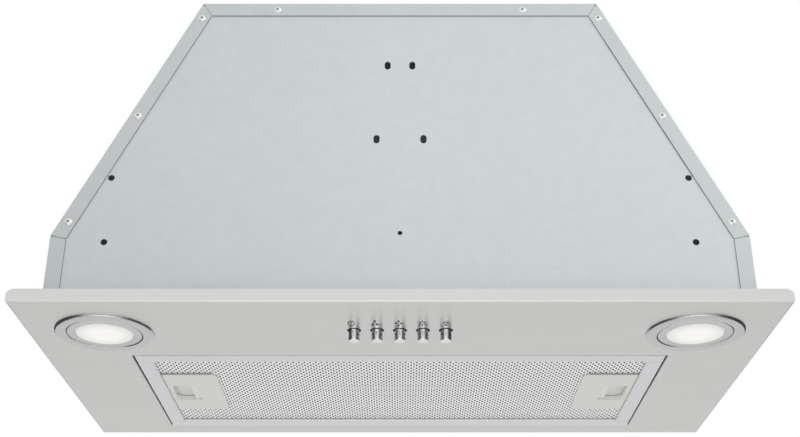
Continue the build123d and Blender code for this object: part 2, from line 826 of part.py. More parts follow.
# Terminal box under the roof, with its moulded terminal block, and the gland above it
terminal_x_limits = (terminal_x - terminal_width / 2, terminal_x + terminal_width / 2)
terminal_y_limits = (terminal_y - terminal_depth / 2, terminal_y + terminal_depth / 2)
terminal_bottom = roof_z - terminal_height
gland_place = (terminal_x + gland_offset, terminal_y + gland_offset)
with BuildPart() as terminal_box:
    block(terminal_x_limits, terminal_y_limits, (terminal_bottom, roof_z))
    inner_x = (terminal_x_limits[0] + terminal_wall, terminal_x_limits[1] - terminal_wall)
    inner_y = (terminal_y_limits[0] + terminal_wall, terminal_y_limits[1] - terminal_wall)
    block(inner_x, inner_y, (terminal_bottom, roof_z - terminal_wall), mode=Mode.SUBTRACT)
    block_y = (inner_y[0], inner_y[0] + terminal_block_depth)
    block_z = (roof_z - terminal_wall - terminal_block_height, roof_z - terminal_wall)
    block((terminal_x - terminal_block_width / 2, terminal_x + terminal_block_width / 2), block_y, block_z)
    with Locations((*gland_place, roof_z)):
        Cylinder(gland_radius + gland_clearance, 4 * terminal_wall, mode=Mode.SUBTRACT)
save(terminal_box.part, "terminal_box")

with BuildPart() as terminal_cover:
    block(terminal_x_limits, terminal_y_limits, (terminal_bottom - terminal_wall, terminal_bottom))
    fillet(terminal_cover.edges().filter_by(Axis.Z), terminal_wall)
save(terminal_cover.part, "terminal_cover")

with BuildPart() as cable_gland:
    with Locations((*gland_place, body_height)):
        Cylinder(gland_flange_radius, gland_flange_height, align=(Align.CENTER, Align.CENTER, Align.MIN))
        Cylinder(gland_radius, gland_length, align=(Align.CENTER, Align.CENTER, Align.MAX))
        Cylinder(gland_bore_radius, 3 * gland_length, mode=Mode.SUBTRACT)
    rim = cable_gland.edges().filter_by(GeomType.CIRCLE).group_by(Axis.Z)[-1].sort_by(SortBy.RADIUS)[-1]
    fillet(rim, gland_flange_height / 3)
save(cable_gland.part, "cable_gland")

# Motor capacitor and the clip that holds it to the roof
capacitor_z = roof_z - capacitor_drop
capacitor_plane = Plane(origin=(-terminal_x, terminal_y, capacitor_z), x_dir=(0, 1, 0), z_dir=(1, 0, 0))
with BuildPart() as capacitor:
    with BuildSketch(capacitor_plane.offset(-capacitor_length / 2)):
        Circle(capacitor_radius)
    extrude(amount=capacitor_length)
    fillet(capacitor.edges().filter_by(GeomType.CIRCLE), motor_edge / 2)
save(capacitor.part, "capacitor")

with BuildPart() as capacitor_clip:
    with BuildSketch(capacitor_plane.offset(-clip_width / 2)):
        clip_bore = capacitor_radius + bracket_fit
        Circle(clip_bore + clip_sheet)
        with Locations((0, capacitor_drop / 2)):
            Rectangle(2 * (clip_bore + clip_sheet), capacitor_drop)
        Circle(clip_bore, mode=Mode.SUBTRACT)
        with Locations((0, capacitor_drop / 2)):
            Rectangle(2 * clip_bore, capacitor_drop, mode=Mode.SUBTRACT)
        for side in (-1, 1):
            foot_middle = side * (clip_bore + clip_foot / 2)
            with Locations((foot_middle, capacitor_drop - clip_sheet / 2)):
                Rectangle(clip_foot, clip_sheet)
    extrude(amount=clip_width)
save(capacitor_clip.part, "capacitor_clip")


def lead(label, points, radii):
    """A lead of round section along straight runs joined by arcs."""
    with BuildPart() as tube:
        with BuildLine() as route:
            FilletPolyline(*points, radius=radii)
        with BuildSketch(Plane(origin=route.line @ 0, z_dir=route.line % 0)):
            Circle(lead_radius)
        sweep()
    save(tube.part, label)


# Lamps
def lamp(label, centre_x):
    """One recessed lamp: bezel, trim, lens, can, board and spring clips."""
    place = Location((centre_x, lamp_y, underside))
    lip_radius = lamp_joint_radius + lamp_lip
    lip_z = lamp_lip_height - lamp_proud
    with BuildPart() as bezel:
        with BuildSketch(Plane.XZ) as bezel_section:
            with BuildLine():
                Polyline(
                    (lamp_bezel_radius - lamp_round, -lamp_proud),
                    (lamp_joint_radius + lamp_edge, -lamp_proud),
                    (lamp_joint_radius, lamp_edge - lamp_proud),
                    (lamp_joint_radius, lip_z),
                    (lip_radius, lip_z),
                    (lip_radius, lamp_tube_rise),
                    (lamp_tube_radius, lamp_tube_rise),
                    (lamp_tube_radius, 0),
                    (lamp_bezel_radius, 0),
                    (lamp_bezel_radius, lamp_round - lamp_proud),
                )
                RadiusArc(
                    (lamp_bezel_radius, lamp_round - lamp_proud),
                    (lamp_bezel_radius - lamp_round, -lamp_proud),
                    lamp_round,
                )
            make_face()
        revolve(axis=Axis.Z)
    save(bezel.part.moved(place), f"lamp_bezel_{label}")

    can_radius = lip_radius - lamp_fit
    can_top = lip_z + can_height
    board_top = board_rise + board_thickness
    with BuildPart() as can:
        with BuildSketch(Plane.XY.offset(lip_z)):
            Circle(can_radius)
        extrude(amount=can_height)
        with BuildSketch(Plane.XY.offset(lip_z)):
            Circle(can_radius - can_wall)
        extrude(amount=can_height - can_roof, mode=Mode.SUBTRACT)
        with BuildSketch(Plane.XY.offset(board_top)):
            Circle(can_boss_radius)
        extrude(amount=can_top - can_roof - board_top)
    save(can.part.moved(place), f"lamp_can_{label}")

    with BuildPart() as board:
        with BuildSketch(Plane.XY.offset(board_rise)):
            Circle(board_radius)
        extrude(amount=board_thickness)
        with BuildSketch(Plane.XY.offset(board_rise)):
            with PolarLocations(chip_ring_radius, chip_count):
                Rectangle(chip_size, chip_size)
        extrude(amount=-chip_height)
    save(board.part.moved(place), f"lamp_board_{label}")

    trim_outer = can_radius - can_wall - lamp_fit
    trim_inner = lens_radius + lens_clearance
    with BuildPart() as trim:
        with BuildSketch(Plane.XZ):
            Polygon(
                (trim_inner, trim_dish - trim_drop),
                (trim_outer, -trim_drop),
                (trim_outer, trim_thickness - trim_drop),
                (trim_inner, trim_dish + trim_thickness - trim_drop),
                align=None,
            )
        revolve(axis=Axis.Z)
    save(trim.part.moved(place), f"lamp_trim_{label}")

    flange_z = trim_dish + trim_thickness - trim_drop + lens_clearance
    with BuildPart() as lens:
        with BuildSketch(Plane.XY.offset(flange_z)):
            Circle(lens_radius)
        extrude(amount=-lens_thickness)
        with BuildSketch(Plane.XY.offset(flange_z)):
            Circle(lens_radius + lens_flange_width)
        extrude(amount=lens_flange_height)
        fillet(lens.edges().group_by(Axis.Z)[0], lens_thickness / 3)
    save(lens.part.moved(place), f"lamp_lens_{label}")

    with BuildPart() as clips:
        with BuildSketch(Plane.XY.offset(panel_sheet)):
            with PolarLocations(lamp_tube_radius + lamp_clip_reach / 2, clip_count, start_angle=90):
                Rectangle(lamp_clip_reach, lamp_clip_width)
            Circle(lamp_tube_radius, mode=Mode.SUBTRACT)
        extrude(amount=lamp_clip_sheet)
        with BuildSketch(Plane.XY.offset(panel_sheet)):
            with PolarLocations(lamp_tube_radius, clip_count, start_angle=90):
                Rectangle(2 * lamp_clip_sheet, lamp_clip_width)
            Circle(lamp_tube_radius, mode=Mode.SUBTRACT)
        extrude(amount=lamp_clip_height)
    save(clips.part.moved(place), f"lamp_clips_{label}")


lamp("left", -lamp_x)
lamp("right", lamp_x)

# Push buttons, and the switch that they work
guide_top = floor_z + switch_floor
flange_bottom = guide_top + button_stop_gap
flange_top = flange_bottom + button_flange_height
with BuildPart() as button:
    with BuildSketch(Plane.XY.offset(underside - button_reach)):
        Circle(button_radius)
    extrude(amount=flange_bottom - underside + button_reach)
    fillet(button.edges().group_by(Axis.Z)[0], button_round)
    with BuildSketch(Plane.XY.offset(flange_bottom)):
        Circle(button_flange_radius)
    extrude(amount=button_flange_height)
    with BuildSketch(Plane.XY.offset(flange_top)):
        Circle(button_stem_radius)
    extrude(amount=button_stem_length)

for number, (button_x, button_row) in enumerate(button_places, start=1):
    save(button.part.moved(Location((button_x, button_row, 0))), f"button_{number}")

switch_top = floor_z + switch_height
switch_y = (button_y - switch_half_depth, button_y + switch_half_depth)
ear_y = (button_y - ear_width / 2, button_y + ear_width / 2)
with BuildPart() as switch_housing:
    block((-switch_half, switch_half), switch_y, (floor_z, switch_top))
    block(
        (switch_wall - switch_half, switch_half - switch_wall),
        (switch_y[0] + switch_wall, switch_y[1] - switch_wall),
        (guide_top, switch_top),
        mode=Mode.SUBTRACT,
    )
    for side in (-1, 1):
        ear_x = sorted((side * switch_half, side * (switch_half + ear_length)))
        block(ear_x, ear_y, (floor_z, floor_z + ear_thickness))
    with Locations(*[(x, y, floor_z) for x, y in button_places]):
        Cylinder(button_radius + button_guide_clearance, 4 * switch_floor, mode=Mode.SUBTRACT)
    with Locations(*[(x, y, floor_z) for x, y in switch_studs]):
        Cylinder(stud_hole_radius, 4 * ear_thickness, mode=Mode.SUBTRACT)
save(switch_housing.part, "switch_housing")

contact_bottom = flange_top + button_travel + contact_gap
contact_half = switch_half - switch_wall - contact_side_gap
contact_half_depth = switch_half_depth - switch_wall - contact_side_gap
with BuildPart() as switch_contacts:
    contact_y = (button_y - contact_half_depth, button_y + contact_half_depth)
    block((-contact_half, contact_half), contact_y, (contact_bottom, switch_top))
    well_depth = switch_top - contact_roof - contact_bottom
    with BuildSketch(Plane.XY.offset(contact_bottom)):
        with Locations(*button_places):
            Circle(button_stem_radius + button_guide_clearance)
    extrude(amount=well_depth, mode=Mode.SUBTRACT)
save(switch_contacts.part, "switch_contacts")

with BuildPart() as switch_cover:
    block((-switch_half, switch_half), switch_y, (switch_top, switch_top + switch_cover_thickness))
    fillet(switch_cover.edges().filter_by(Axis.Z), switch_wall)
save(switch_cover.part, "switch_cover")

# Grease filter: a folded frame round two perforated skins and a mesh core
filter_bottom = underside
filter_top = underside + filter_height
skin_bottom = filter_bottom + filter_hem
core_bottom = skin_bottom + filter_skin
core_top = filter_top - filter_top_sheet - filter_skin
skin_half = filter_half - filter_sheet - filter_fit
skin_depth = filter_depth - 2 * (filter_sheet + filter_fit)
tongue_half = tongue_width / 2 + latch_slot_clearance


def filter_ring(z, height, outer, inner):
    """One layer of the filter's frame, between two rectangles given by their side, front and rear insets."""
    with BuildSketch(Plane.XY.offset(z)) as ring:
        for (side, front, rear), mode in ((outer, Mode.ADD), (inner, Mode.SUBTRACT)):
            with Locations((0, filter_y + (front - rear) / 2)):
                Rectangle(2 * (filter_half - side), filter_depth - front - rear, mode=mode)
    extrude(ring.sketch, amount=height)


frame_edge = (0, 0, 0)
frame_wall = (filter_sheet, filter_sheet, filter_sheet)
frame_window = (filter_border, filter_front_border, filter_border)
frame_hem = [width - filter_sheet for width in frame_window]
with BuildPart() as filter_frame:
    filter_ring(filter_bottom, filter_sheet, frame_edge, frame_window)
    filter_ring(filter_bottom, filter_hem, frame_hem, frame_window)
    filter_ring(filter_bottom, filter_height, frame_edge, frame_wall)
    filter_ring(filter_top - filter_top_sheet, filter_top_sheet, frame_edge, frame_window)
    fillet(filter_frame.edges().group_by(Axis.Z)[0], filter_bend)
    block(
        (-filter_half, filter_half),
        (latch_y - tongue_half, latch_y + tongue_half),
        (underside + tongue_bottom - latch_slot_clearance, underside + tongue_top + latch_slot_clearance),
        mode=Mode.SUBTRACT,
    )
save(filter_frame.part, "filter_frame")


def filter_layer(z, height, label, holes):
    """A sheet or pad held in the frame, cut out for the latches and, with holes, a net."""
    with BuildPart() as layer:
        with BuildSketch(Plane.XY.offset(z)):
            with Locations((0, filter_y)):
                Rectangle(2 * skin_half, skin_depth)
            if holes:
                column_pitch = 2 * (filter_inner_half - net_margin) / (net_columns - 0.5)
                row_pitch = (filter_depth - 2 * (filter_border + net_margin)) / (net_rows - 1)
                rows = [i - (net_rows - 1) / 2 for i in range(net_rows)]
                for number, row in enumerate(rows):
                    stagger = column_pitch / 4 * (-1) ** number
                    with Locations((stagger, filter_y + row * row_pitch)):
                        with GridLocations(column_pitch, row_pitch, net_columns, 1):
                            Circle(net_hole_radius, mode=Mode.SUBTRACT)
            for side in (-1, 1):
                with Locations((side * (latch_inner + filter_inner_half) / 2, latch_y)):
                    cut_width = filter_inner_half - latch_inner + 2 * latch_fit
                    Rectangle(cut_width, latch_length + 2 * latch_fit, mode=Mode.SUBTRACT)
                with Locations((side * filter_half, latch_y)):
                    Rectangle(2 * filter_border + latch_wall, 2 * tongue_half, mode=Mode.SUBTRACT)
        extrude(amount=height)
    save(layer.part, label)


filter_layer(skin_bottom, filter_skin, "filter_mesh_lower", True)
filter_layer(core_bottom, core_top - core_bottom, "filter_core", False)
filter_layer(core_top, filter_skin, "filter_mesh_upper", True)

# Latches, made for the right end and mirrored to the left
latch_bottom = underside + latch_recess
latch_top = underside + latch_height
pocket_z = underside + pocket_depth
window_y = (latch_y - window_length / 2, latch_y + window_length / 2)
tongue_z = (underside + tongue_bottom, underside + tongue_top)
with BuildPart() as latch_housing:
    latch_y_limits = (latch_y - latch_length / 2, latch_y + latch_length / 2)
    block((latch_inner, latch_outer), latch_y_limits, (latch_bottom, latch_top))
    fillet(latch_housing.edges().filter_by(Axis.Z).group_by(Axis.X)[0], latch_corner)
    fillet(latch_housing.edges().group_by(Axis.Z)[0], latch_round)
    with BuildSketch(Plane.XY.offset(latch_bottom + latch_wall)):
        with Locations(((latch_inner + latch_outer) / 2, latch_y)):
            Rectangle(latch_width - 2 * latch_wall, latch_length - 2 * latch_corner)
            Rectangle(latch_width - 2 * latch_corner, latch_length - 2 * latch_wall)
    extrude(amount=latch_top - latch_bottom - 2 * latch_wall, mode=Mode.SUBTRACT)
    rim_x = (window_inner, window_outer + latch_wall)
    rim_z = (latch_bottom + latch_wall, pocket_z - latch_fit)
    block(rim_x, (window_y[0] - latch_wall, window_y[1] + latch_wall), rim_z)
    with BuildSketch(Plane.XY.offset(latch_bottom)):
        with Locations(((window_inner + window_outer) / 2, latch_y)):
            RectangleRounded(window_width, window_length, window_corner)
    extrude(amount=latch_wall, mode=Mode.SUBTRACT)
    with BuildSketch(Plane.XY.offset(rim_z[0])):
        with Locations(((window_inner + window_outer) / 2, latch_y)):
            RectangleRounded(window_width, window_length, pocket_corner)
    extrude(amount=rim_z[1] - rim_z[0], mode=Mode.SUBTRACT)
    block((window_inner, window_inner + pocket_corner), window_y, rim_z, mode=Mode.SUBTRACT)
    rib_z = (pocket_z + web_thickness + latch_fit, latch_top - latch_wall)
    for side in (-1, 1):
        rib_middle = latch_y + side * latch_rib_spacing / 2
        rib_y = (rib_middle - latch_rib_width / 2, rib_middle + latch_rib_width / 2)
        block((latch_inner + latch_corner, window_outer), rib_y, rib_z)
    block(
        (latch_outer - latch_wall, latch_outer),
        (latch_y - tongue_half, latch_y + tongue_half),
        (tongue_z[0] - latch_slot_clearance, latch_top - latch_wall),
        mode=Mode.SUBTRACT,
    )

with BuildPart() as latch_slider:
    web_end = latch_outer - latch_wall - latch_fit
    web_half = window_length / 2 + latch_wall - latch_fit
    web_z = (pocket_z, pocket_z + web_thickness)
    block((window_inner, web_end), (latch_y - web_half, latch_y + web_half), web_z)
    tab_y = (latch_y - tab_length / 2, latch_y + tab_length / 2)
    block((window_inner, window_inner + tab_width), tab_y, (rim_z[0] + latch_fit, pocket_z))
    tongue_y = (latch_y - tongue_width / 2, latch_y + tongue_width / 2)
    block((web_end, tongue_root), tongue_y, (pocket_z, tongue_z[1]))
    with BuildSketch(Plane.XZ.offset(-tongue_y[0])):
        Polygon(
            (tongue_root, tongue_z[0]),
            (opening_half, tongue_z[0]),
            (tongue_tip, tongue_z[0] + tongue_slope * tongue_reach),
            (tongue_tip, tongue_z[1]),
            (tongue_root, tongue_z[1]),
            align=None,
        )
    extrude(amount=-tongue_width)

for label, piece in (("latch_housing", latch_housing.part), ("latch_slider", latch_slider.part)):
    save(piece, f"{label}_right")
    save(mirror(piece, about=Plane.YZ), f"{label}_left")

# Leads inside the canopy: terminal box to motor, terminal box to switch, and switch to each lamp
lead_top = terminal_bottom - terminal_wall
motor_lead_x = motor_end + motor_lead_stand
motor_lead_y = scroll_y + motor_lead_offset
lead(
    "motor_lead",
    [
        (motor_lead_x, motor_lead_y, lead_top),
        (motor_lead_x, motor_lead_y, scroll_z),
        (motor_end, motor_lead_y, scroll_z),
    ],
    [motor_lead_bend],
)

switch_lead_x = terminal_x + switch_lead_offset
switch_lead_y = terminal_y - switch_lead_offset
cover_top = switch_top + switch_cover_thickness
lead(
    "switch_lead",
    [
        (switch_lead_x, switch_lead_y, lead_top),
        (switch_lead_x, switch_lead_y, cover_top + 2 * switch_lead_rise),
        (terminal_x, button_y, cover_top + switch_lead_rise),
        (switch_half / 2, button_y, cover_top + switch_lead_rise),
        (switch_half / 2, button_y, cover_top),
    ],
    switch_lead_bends,
)

lamp_lead_end = lamp_x - lamp_joint_radius - lamp_lip + lamp_fit
lamp_lead_low = floor_z + lead_radius
lamp_lead_high = lamp_lead_low + lamp_lead_rise
for label, side in (("left", -1), ("right", 1)):
    lead(
        f"lamp_lead_{label}",
        [
            (side * switch_half, lamp_y, lamp_lead_high),
            (side * (switch_half + lamp_lead_run), lamp_y, lamp_lead_high),
            (side * (switch_half + 2 * lamp_lead_run), lamp_y, lamp_lead_low),
            (side * (lamp_lead_end - 2 * lamp_lead_run), lamp_y, lamp_lead_low),
            (side * (lamp_lead_end - lamp_lead_run), lamp_y, lamp_lead_high),
            (side * lamp_lead_end, lamp_y, lamp_lead_high),
        ],
        [lamp_lead_bend] * 4,
    )
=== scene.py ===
import json
import math
from functools import reduce

import bpy
import numpy as np
from bpy.props import FloatProperty, FloatVectorProperty, IntProperty, PointerProperty
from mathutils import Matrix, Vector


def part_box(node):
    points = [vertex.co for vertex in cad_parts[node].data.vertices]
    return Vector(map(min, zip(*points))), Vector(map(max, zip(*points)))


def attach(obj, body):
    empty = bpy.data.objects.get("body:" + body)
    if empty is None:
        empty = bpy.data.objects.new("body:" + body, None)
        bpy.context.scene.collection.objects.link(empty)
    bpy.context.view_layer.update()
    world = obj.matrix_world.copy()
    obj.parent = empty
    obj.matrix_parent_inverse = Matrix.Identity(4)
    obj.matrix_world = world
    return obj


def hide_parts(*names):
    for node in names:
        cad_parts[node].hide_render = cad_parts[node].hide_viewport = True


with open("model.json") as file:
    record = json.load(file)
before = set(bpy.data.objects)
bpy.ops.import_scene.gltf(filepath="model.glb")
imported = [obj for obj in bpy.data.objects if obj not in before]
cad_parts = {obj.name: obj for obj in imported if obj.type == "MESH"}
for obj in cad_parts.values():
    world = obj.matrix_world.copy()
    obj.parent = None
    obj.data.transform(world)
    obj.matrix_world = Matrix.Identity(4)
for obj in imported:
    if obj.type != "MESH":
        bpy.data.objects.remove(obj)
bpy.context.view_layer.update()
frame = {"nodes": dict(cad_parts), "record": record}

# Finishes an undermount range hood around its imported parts: sheet metal, lamps, chrome buttons,
# a perforated grease filter, printed button symbols and the stage that they are seen on.

bl_info = {
    "name": "Undermount range hood",
    "version": (1, 0, 0),
    "blender": (4, 5, 0),
    "location": "View3D > Sidebar > Range hood",
    "description": "Gives a packed range hood its finishes, filter skins, button symbols and stage",
    "category": "Object",
}

NODE_SLOT = {part["node"]: part["material_slot"] for part in frame["record"]["subparts"]}
MM = 0.001
SIDES = ("left", "right")
BUTTON_COUNT = 5
X_AXIS = (1.0, 0.0, 0.0)
Y_AXIS = (0.0, 1.0, 0.0)
Z_AXIS = (0.0, 0.0, 1.0)
WHITE = (1.0, 1.0, 1.0, 1.0)

# The range that most values of a noise pattern lie in, and the whole range of a random value or a mask
NOISE_RANGE = (0.3, 0.7)
WHOLE_RANGE = (0.0, 1.0)

# The canopy's front outline: half widths at the foot and the top, heights of the knee and the top,
# and the width of the flange
CANOPY_HALF = 244.0 * MM
CANOPY_TOP_HALF = 151.0 * MM
CANOPY_KNEE = 48.0 * MM
CANOPY_HEIGHT = 245.3 * MM
CANOPY_FLANGE = 11.0 * MM

# Heights between which the right flange stands off the wall a little, where a darker shadow is painted in the
# gap
STANDOFF_SHADE_HEIGHTS = (95.0 * MM, 212.0 * MM)

# Widths of the filter frame's rails at its sides and rear, and at its front
FILTER_BORDER = 12.0 * MM
FILTER_FRONT_BORDER = 13.6 * MM

# Height of the finger pockets' floor, and how far their walls' painted light reaches to the front and rear
POCKET_FLOOR = -4.5 * MM
POCKET_REACH = 20.0 * MM

# Clearances of the filter skins at the latches' front and rear ends
SKIN_FRONT_FIT = 1.0 * MM
SKIN_REAR_FIT = 0.05 * MM

# The lens's own colour, and the strength of the light that comes through it
LENS_FROST = (0.16, 0.16, 0.155)
LENS_GLOW = 0.69

# The camera's sensor in mm, and the soft lights at the front right and below the front
SENSOR_WIDTH = 36.0
KEY_LIGHT = {"place": (2.3, -1.3, 0.9), "width": 1.6, "height": 1.2}
FILL_LIGHT = {"place": (0.0, -1.6, -0.95), "width": 1.5, "height": 0.8}

# The faint lights inside the canopy: the right one's place, which the left one mirrors, and their radius
INNER_LIGHT = (90.0 * MM, -95.0 * MM, 160.0 * MM)
INNER_LIGHT_RADIUS = 20.0 * MM

# The dark cards: distance to each side, front end, foot, length and height
FLAG_ASIDE = 1.4
FLAG_FRONT = -1.35
FLAG_FOOT = -1.5
FLAG_LENGTH = 3.35
FLAG_HEIGHT = 1.5


def box_middle(node):
    """The middle of a node's box."""
    low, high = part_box(node)
    return (low + high) / 2


# Settings that a user would change

def colour(name, description, value):
    """A colour setting."""
    return FloatVectorProperty(
        name=name, description=description, default=value, subtype="COLOR", size=3, min=0.0, max=1.0
    )


def length(name, description, value):
    """A length setting in metres."""
    return FloatProperty(
        name=name, description=description, default=value, min=0.0,
        subtype="DISTANCE", unit="LENGTH", precision=5,
    )


def share(name, description, value):
    """A setting from 0 to 1."""
    return FloatProperty(
        name=name, description=description, default=value, min=0.0, max=1.0, subtype="FACTOR"
    )


def watts(name, description, value):
    """The setting of a light's power."""
    return FloatProperty(name=name, description=description, default=value, min=0.0, unit="POWER")


class HoodStageSettings(bpy.types.PropertyGroup):
    """The camera, the floor and the light."""

    camera_place: FloatVectorProperty(
        name="Camera place", description="Where the camera stands, below and in front of the hood",
        default=(0.0, -0.9072, -0.3203), subtype="TRANSLATION", unit="LENGTH",
    )
    camera_tilt: FloatProperty(
        name="Camera tilt", description="How far the camera looks up from level",
        default=math.radians(26.25), subtype="ANGLE",
    )
    camera_lens: FloatProperty(
        name="Camera lens", description="Focal length on a 36 mm wide sensor",
        default=55.26, min=1.0, unit="CAMERA",
    )
    floor_drop: length("Floor drop", "How far the floor lies below the hood's seating plane", 2.0)
    floor_width: length("Floor width", "Side of the square floor", 14.0)
    floor_colour: colour("Floor colour", "Pale floor", (0.93, 0.93, 0.93))
    room_light: FloatProperty(
        name="Room light", description="Strength of the even light from all round", default=0.88, min=0.0
    )
    key_power: watts("Key power", "Power of the soft light at the front right", 16.0)
    fill_power: watts("Fill power", "Power of the soft light below the front", 4.0)
    inner_power: watts("Inner power", "Power of each faint light inside the canopy", 0.05)
    flag_colour: colour("Flag colour", "Dark cards at both sides, seen in reflections", (0.015, 0.015, 0.015))


class HoodFinishSettings(bpy.types.PropertyGroup):
    """Colours of the finishes."""

    galvanised: colour("Galvanised wall", "Front wall, rear wall and collar", (0.60, 0.648, 0.648))
    wrap: colour("Galvanised wrap", "Canopy wrap with its flanges", (0.555, 0.60, 0.60))
    stainless: colour("Brushed steel", "Panel", (0.665, 0.66, 0.65))
    zinc: colour("Zinc plate", "Screws, studs, nuts, clips and motor bracket", (0.60, 0.61, 0.62))
    rivet: colour("Rivet aluminium", "Blind rivets", (0.78, 0.78, 0.78))
    # A dark tint for painted shadow along the canopy flanges and a painted dark reflection on the lamp joints
    shadow_tint: colour("Cut edge", "Sheet edges and the creases beside them", (0.30, 0.31, 0.31))
    flap: colour("Flap plastic", "Damper, blower shells and fan", (0.16, 0.165, 0.17))
    rubber: colour("Rubber", "Gland and grommets", (0.03, 0.03, 0.03))
    lamp_ring: colour("Lamp ring", "Satin bezels and trims", (0.55, 0.55, 0.545))
    lens_middle: colour("Lens middle", "Light through the middle of the lens", (1.0, 0.985, 0.94))
    lens_edge: colour("Lens edge", "Light through the rim of the lens", (0.72, 0.72, 0.71))
    can: colour("Drawn aluminium", "Lamp cans and capacitor", (0.60, 0.60, 0.61))
    board: colour("Lamp board", "White coated boards", (0.82, 0.82, 0.79))
    chrome: colour("Chrome", "Buttons", (0.80, 0.80, 0.81))
    black: colour("Black plastic", "Switch and terminal box", (0.03, 0.03, 0.035))
    motor: colour("Motor steel", "Motor can and shaft", (0.45, 0.46, 0.47))
    sheath: colour("Lead sheath", "Leads inside the canopy", (0.30, 0.30, 0.31))
    filter_metal: colour("Filter metal", "Filter frame", (0.68, 0.685, 0.70))
    filter_skin: colour("Filter skin", "Bright perforated skins", (0.88, 0.88, 0.88))
    # Near black: painted shade for the mesh inside the filter, and the tint of the frame's painted shadow
    # lines
    filter_core: colour("Filter core", "Mesh layers behind the skin", (0.05, 0.05, 0.052))
    latch: colour("Latch plastic", "Latch housings", (0.63, 0.63, 0.60))
    slider: colour("Slider plastic", "Latch sliders", (0.67, 0.67, 0.64))
    print_ink: colour("Print ink", "Symbols in front of the buttons", (0.02, 0.02, 0.02))


class HoodFilterSettings(bpy.types.PropertyGroup):
    """The filter's perforated skins."""

    half_columns: IntProperty(
        name="Half columns to the latch", description="Half pitches from the middle to a latch's inner edge",
        default=67, min=4,
    )
    latch_rows: IntProperty(
        name="Rows along a latch", description="Rows of holes beside one latch", default=28, min=2
    )
    hole_width: share("Hole width", "Width of a hole as a share of the cell that holds it", 0.33)
    hole_length: share("Hole length", "Length of a hole as a share of the cell that holds it", 0.84)
    zigzag: share("Cell peak", "Rise of a cell's pointed ends as a share of the row height", 0.2)
    thickness: length("Skin thickness", "Thickness of a perforated skin", 0.2 * MM)


class HoodSymbolSettings(bpy.types.PropertyGroup):
    """The symbols printed in front of the buttons."""

    size: length("Symbol width", "Width of one symbol", 4.4 * MM)
    stretch: FloatProperty(
        name="Stretch", description="Length of a symbol over its width, as it is read at a flat angle",
        default=2.1, min=1.0,
    )
    line: length("Line width", "Width of the printed lines", 0.65 * MM)
    pitch: length("Symbol pitch", "From one symbol's middle to the next", 16.45 * MM)
    shift: length("Print shift", "How far the whole print sits to the left of the buttons", 0.93 * MM)
    gap: length("Gap to the button", "From a button's middle to its symbol's middle", 13.4 * MM)
    ink: length("Ink thickness", "How far the print stands off the panel", 0.04 * MM)


# Meshes

def add_piece(name, points, faces, body, material, nodes=()):
    """Makes a mesh object from points in metres, rides it on a body and hides the parts that it stands for.
    """
    mesh = bpy.data.meshes.new(name)
    mesh.from_pydata(points.tolist(), [], faces)
    mesh.validate()
    mesh.materials.append(material)
    piece = bpy.data.objects.new(name, mesh)
    bpy.context.scene.collection.objects.link(piece)
    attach(piece, body)
    if nodes:
        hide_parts(*nodes)


def perforated_skin(x_lines, y_lines, inside, shown, bottom, top, hole_share, peak):
    """A flat sheet with staggered six-sided holes.

    The sheet is a grid of half cells. Two neighbours make one cell, and each row's cells are offset by
    half a cell. Grid points rise and fall by peak in turn, so that cells become pointed hexagons.
    A hole is its cell's outline shrunk towards the cell's middle. Half cells that aren't shown stay plain.
    """
    row_count, column_count = inside.shape
    stride = column_count + 1
    rows, columns = np.mgrid[0:row_count + 1, 0:column_count + 1]
    pairable = (rows[:-1, :-1] + columns[:-1, :-1]) % 2 == 0
    whole = inside & shown
    opened = np.zeros_like(inside)
    opened[:, :-1] = pairable[:, :-1] & whole[:, :-1] & whole[:, 1:]
    holed = opened.copy()
    holed[:, 1:] |= opened[:, :-1]
    padded = np.pad(holed, 1)
    free = padded[1:, 1:] & padded[:-1, 1:] & padded[1:, :-1] & padded[:-1, :-1]
    turn = np.where((rows + columns) % 2 == 1, -1.0, 1.0)
    x = np.broadcast_to(x_lines, rows.shape)
    y = y_lines[:, None] + np.where(free, peak * turn, 0.0)
    flat = np.stack([x.ravel(), y.ravel()], axis=1)

    cell_row, cell_column = np.nonzero(opened)
    first = cell_row * stride + cell_column
    steps = np.array([0, 1, 2, stride + 2, stride + 1, stride])
    ring = first[:, None] + steps
    middle_y = (y_lines[cell_row] + y_lines[cell_row + 1]) / 2
    middle = np.stack([x_lines[cell_column + 1], middle_y], axis=1)
    hole_points = middle[:, None] + (flat[ring] - middle[:, None]) * np.array(hole_share)

    grid_size = len(flat)
    flat = np.concatenate([flat, hole_points.reshape(-1, 2)])
    level_size = len(flat)
    hole = grid_size + np.arange(ring.size).reshape(ring.shape)
    next_ring = np.roll(ring, -1, axis=1)
    next_hole = np.roll(hole, -1, axis=1)
    upper = np.stack([ring, next_ring, next_hole, hole], axis=2).reshape(-1, 4)
    plain_row, plain_column = np.nonzero(inside & ~holed)
    corner = plain_row * stride + plain_column
    plain_quads = np.stack([corner, corner + 1, corner + stride + 1, corner + stride], axis=1)
    upper = np.concatenate([upper, plain_quads])
    hole_walls = np.stack([hole, hole + level_size, next_hole + level_size, next_hole], axis=2).reshape(-1, 4)

    # The four sides of a half cell: steps from its first corner to the side's ends, and to the neighbour
    around = np.pad(inside, 1)
    walls = []
    for start, end, row_step, column_step in (
        (stride, 0, 0, -1), (1, stride + 1, 0, 1), (0, 1, -1, 0), (stride + 1, stride, 1, 0)
    ):
        neighbour = np.roll(around, (-row_step, -column_step), axis=(0, 1))[1:-1, 1:-1]
        edge_row, edge_column = np.nonzero(inside & ~neighbour)
        corner = edge_row * stride + edge_column
        foot = np.stack([corner + start, corner + end], axis=1)
        walls.append(np.concatenate([foot, foot[:, ::-1] + level_size], axis=1))

    quads = np.concatenate([upper + level_size, upper[:, ::-1], hole_walls, *walls])
    points = np.concatenate([
        np.column_stack([flat, np.full(level_size, bottom)]),
        np.column_stack([flat, np.full(level_size, top)]),
    ])
    used, quads = np.unique(quads, return_inverse=True)
    return points[used], quads.reshape(-1, 4).tolist()


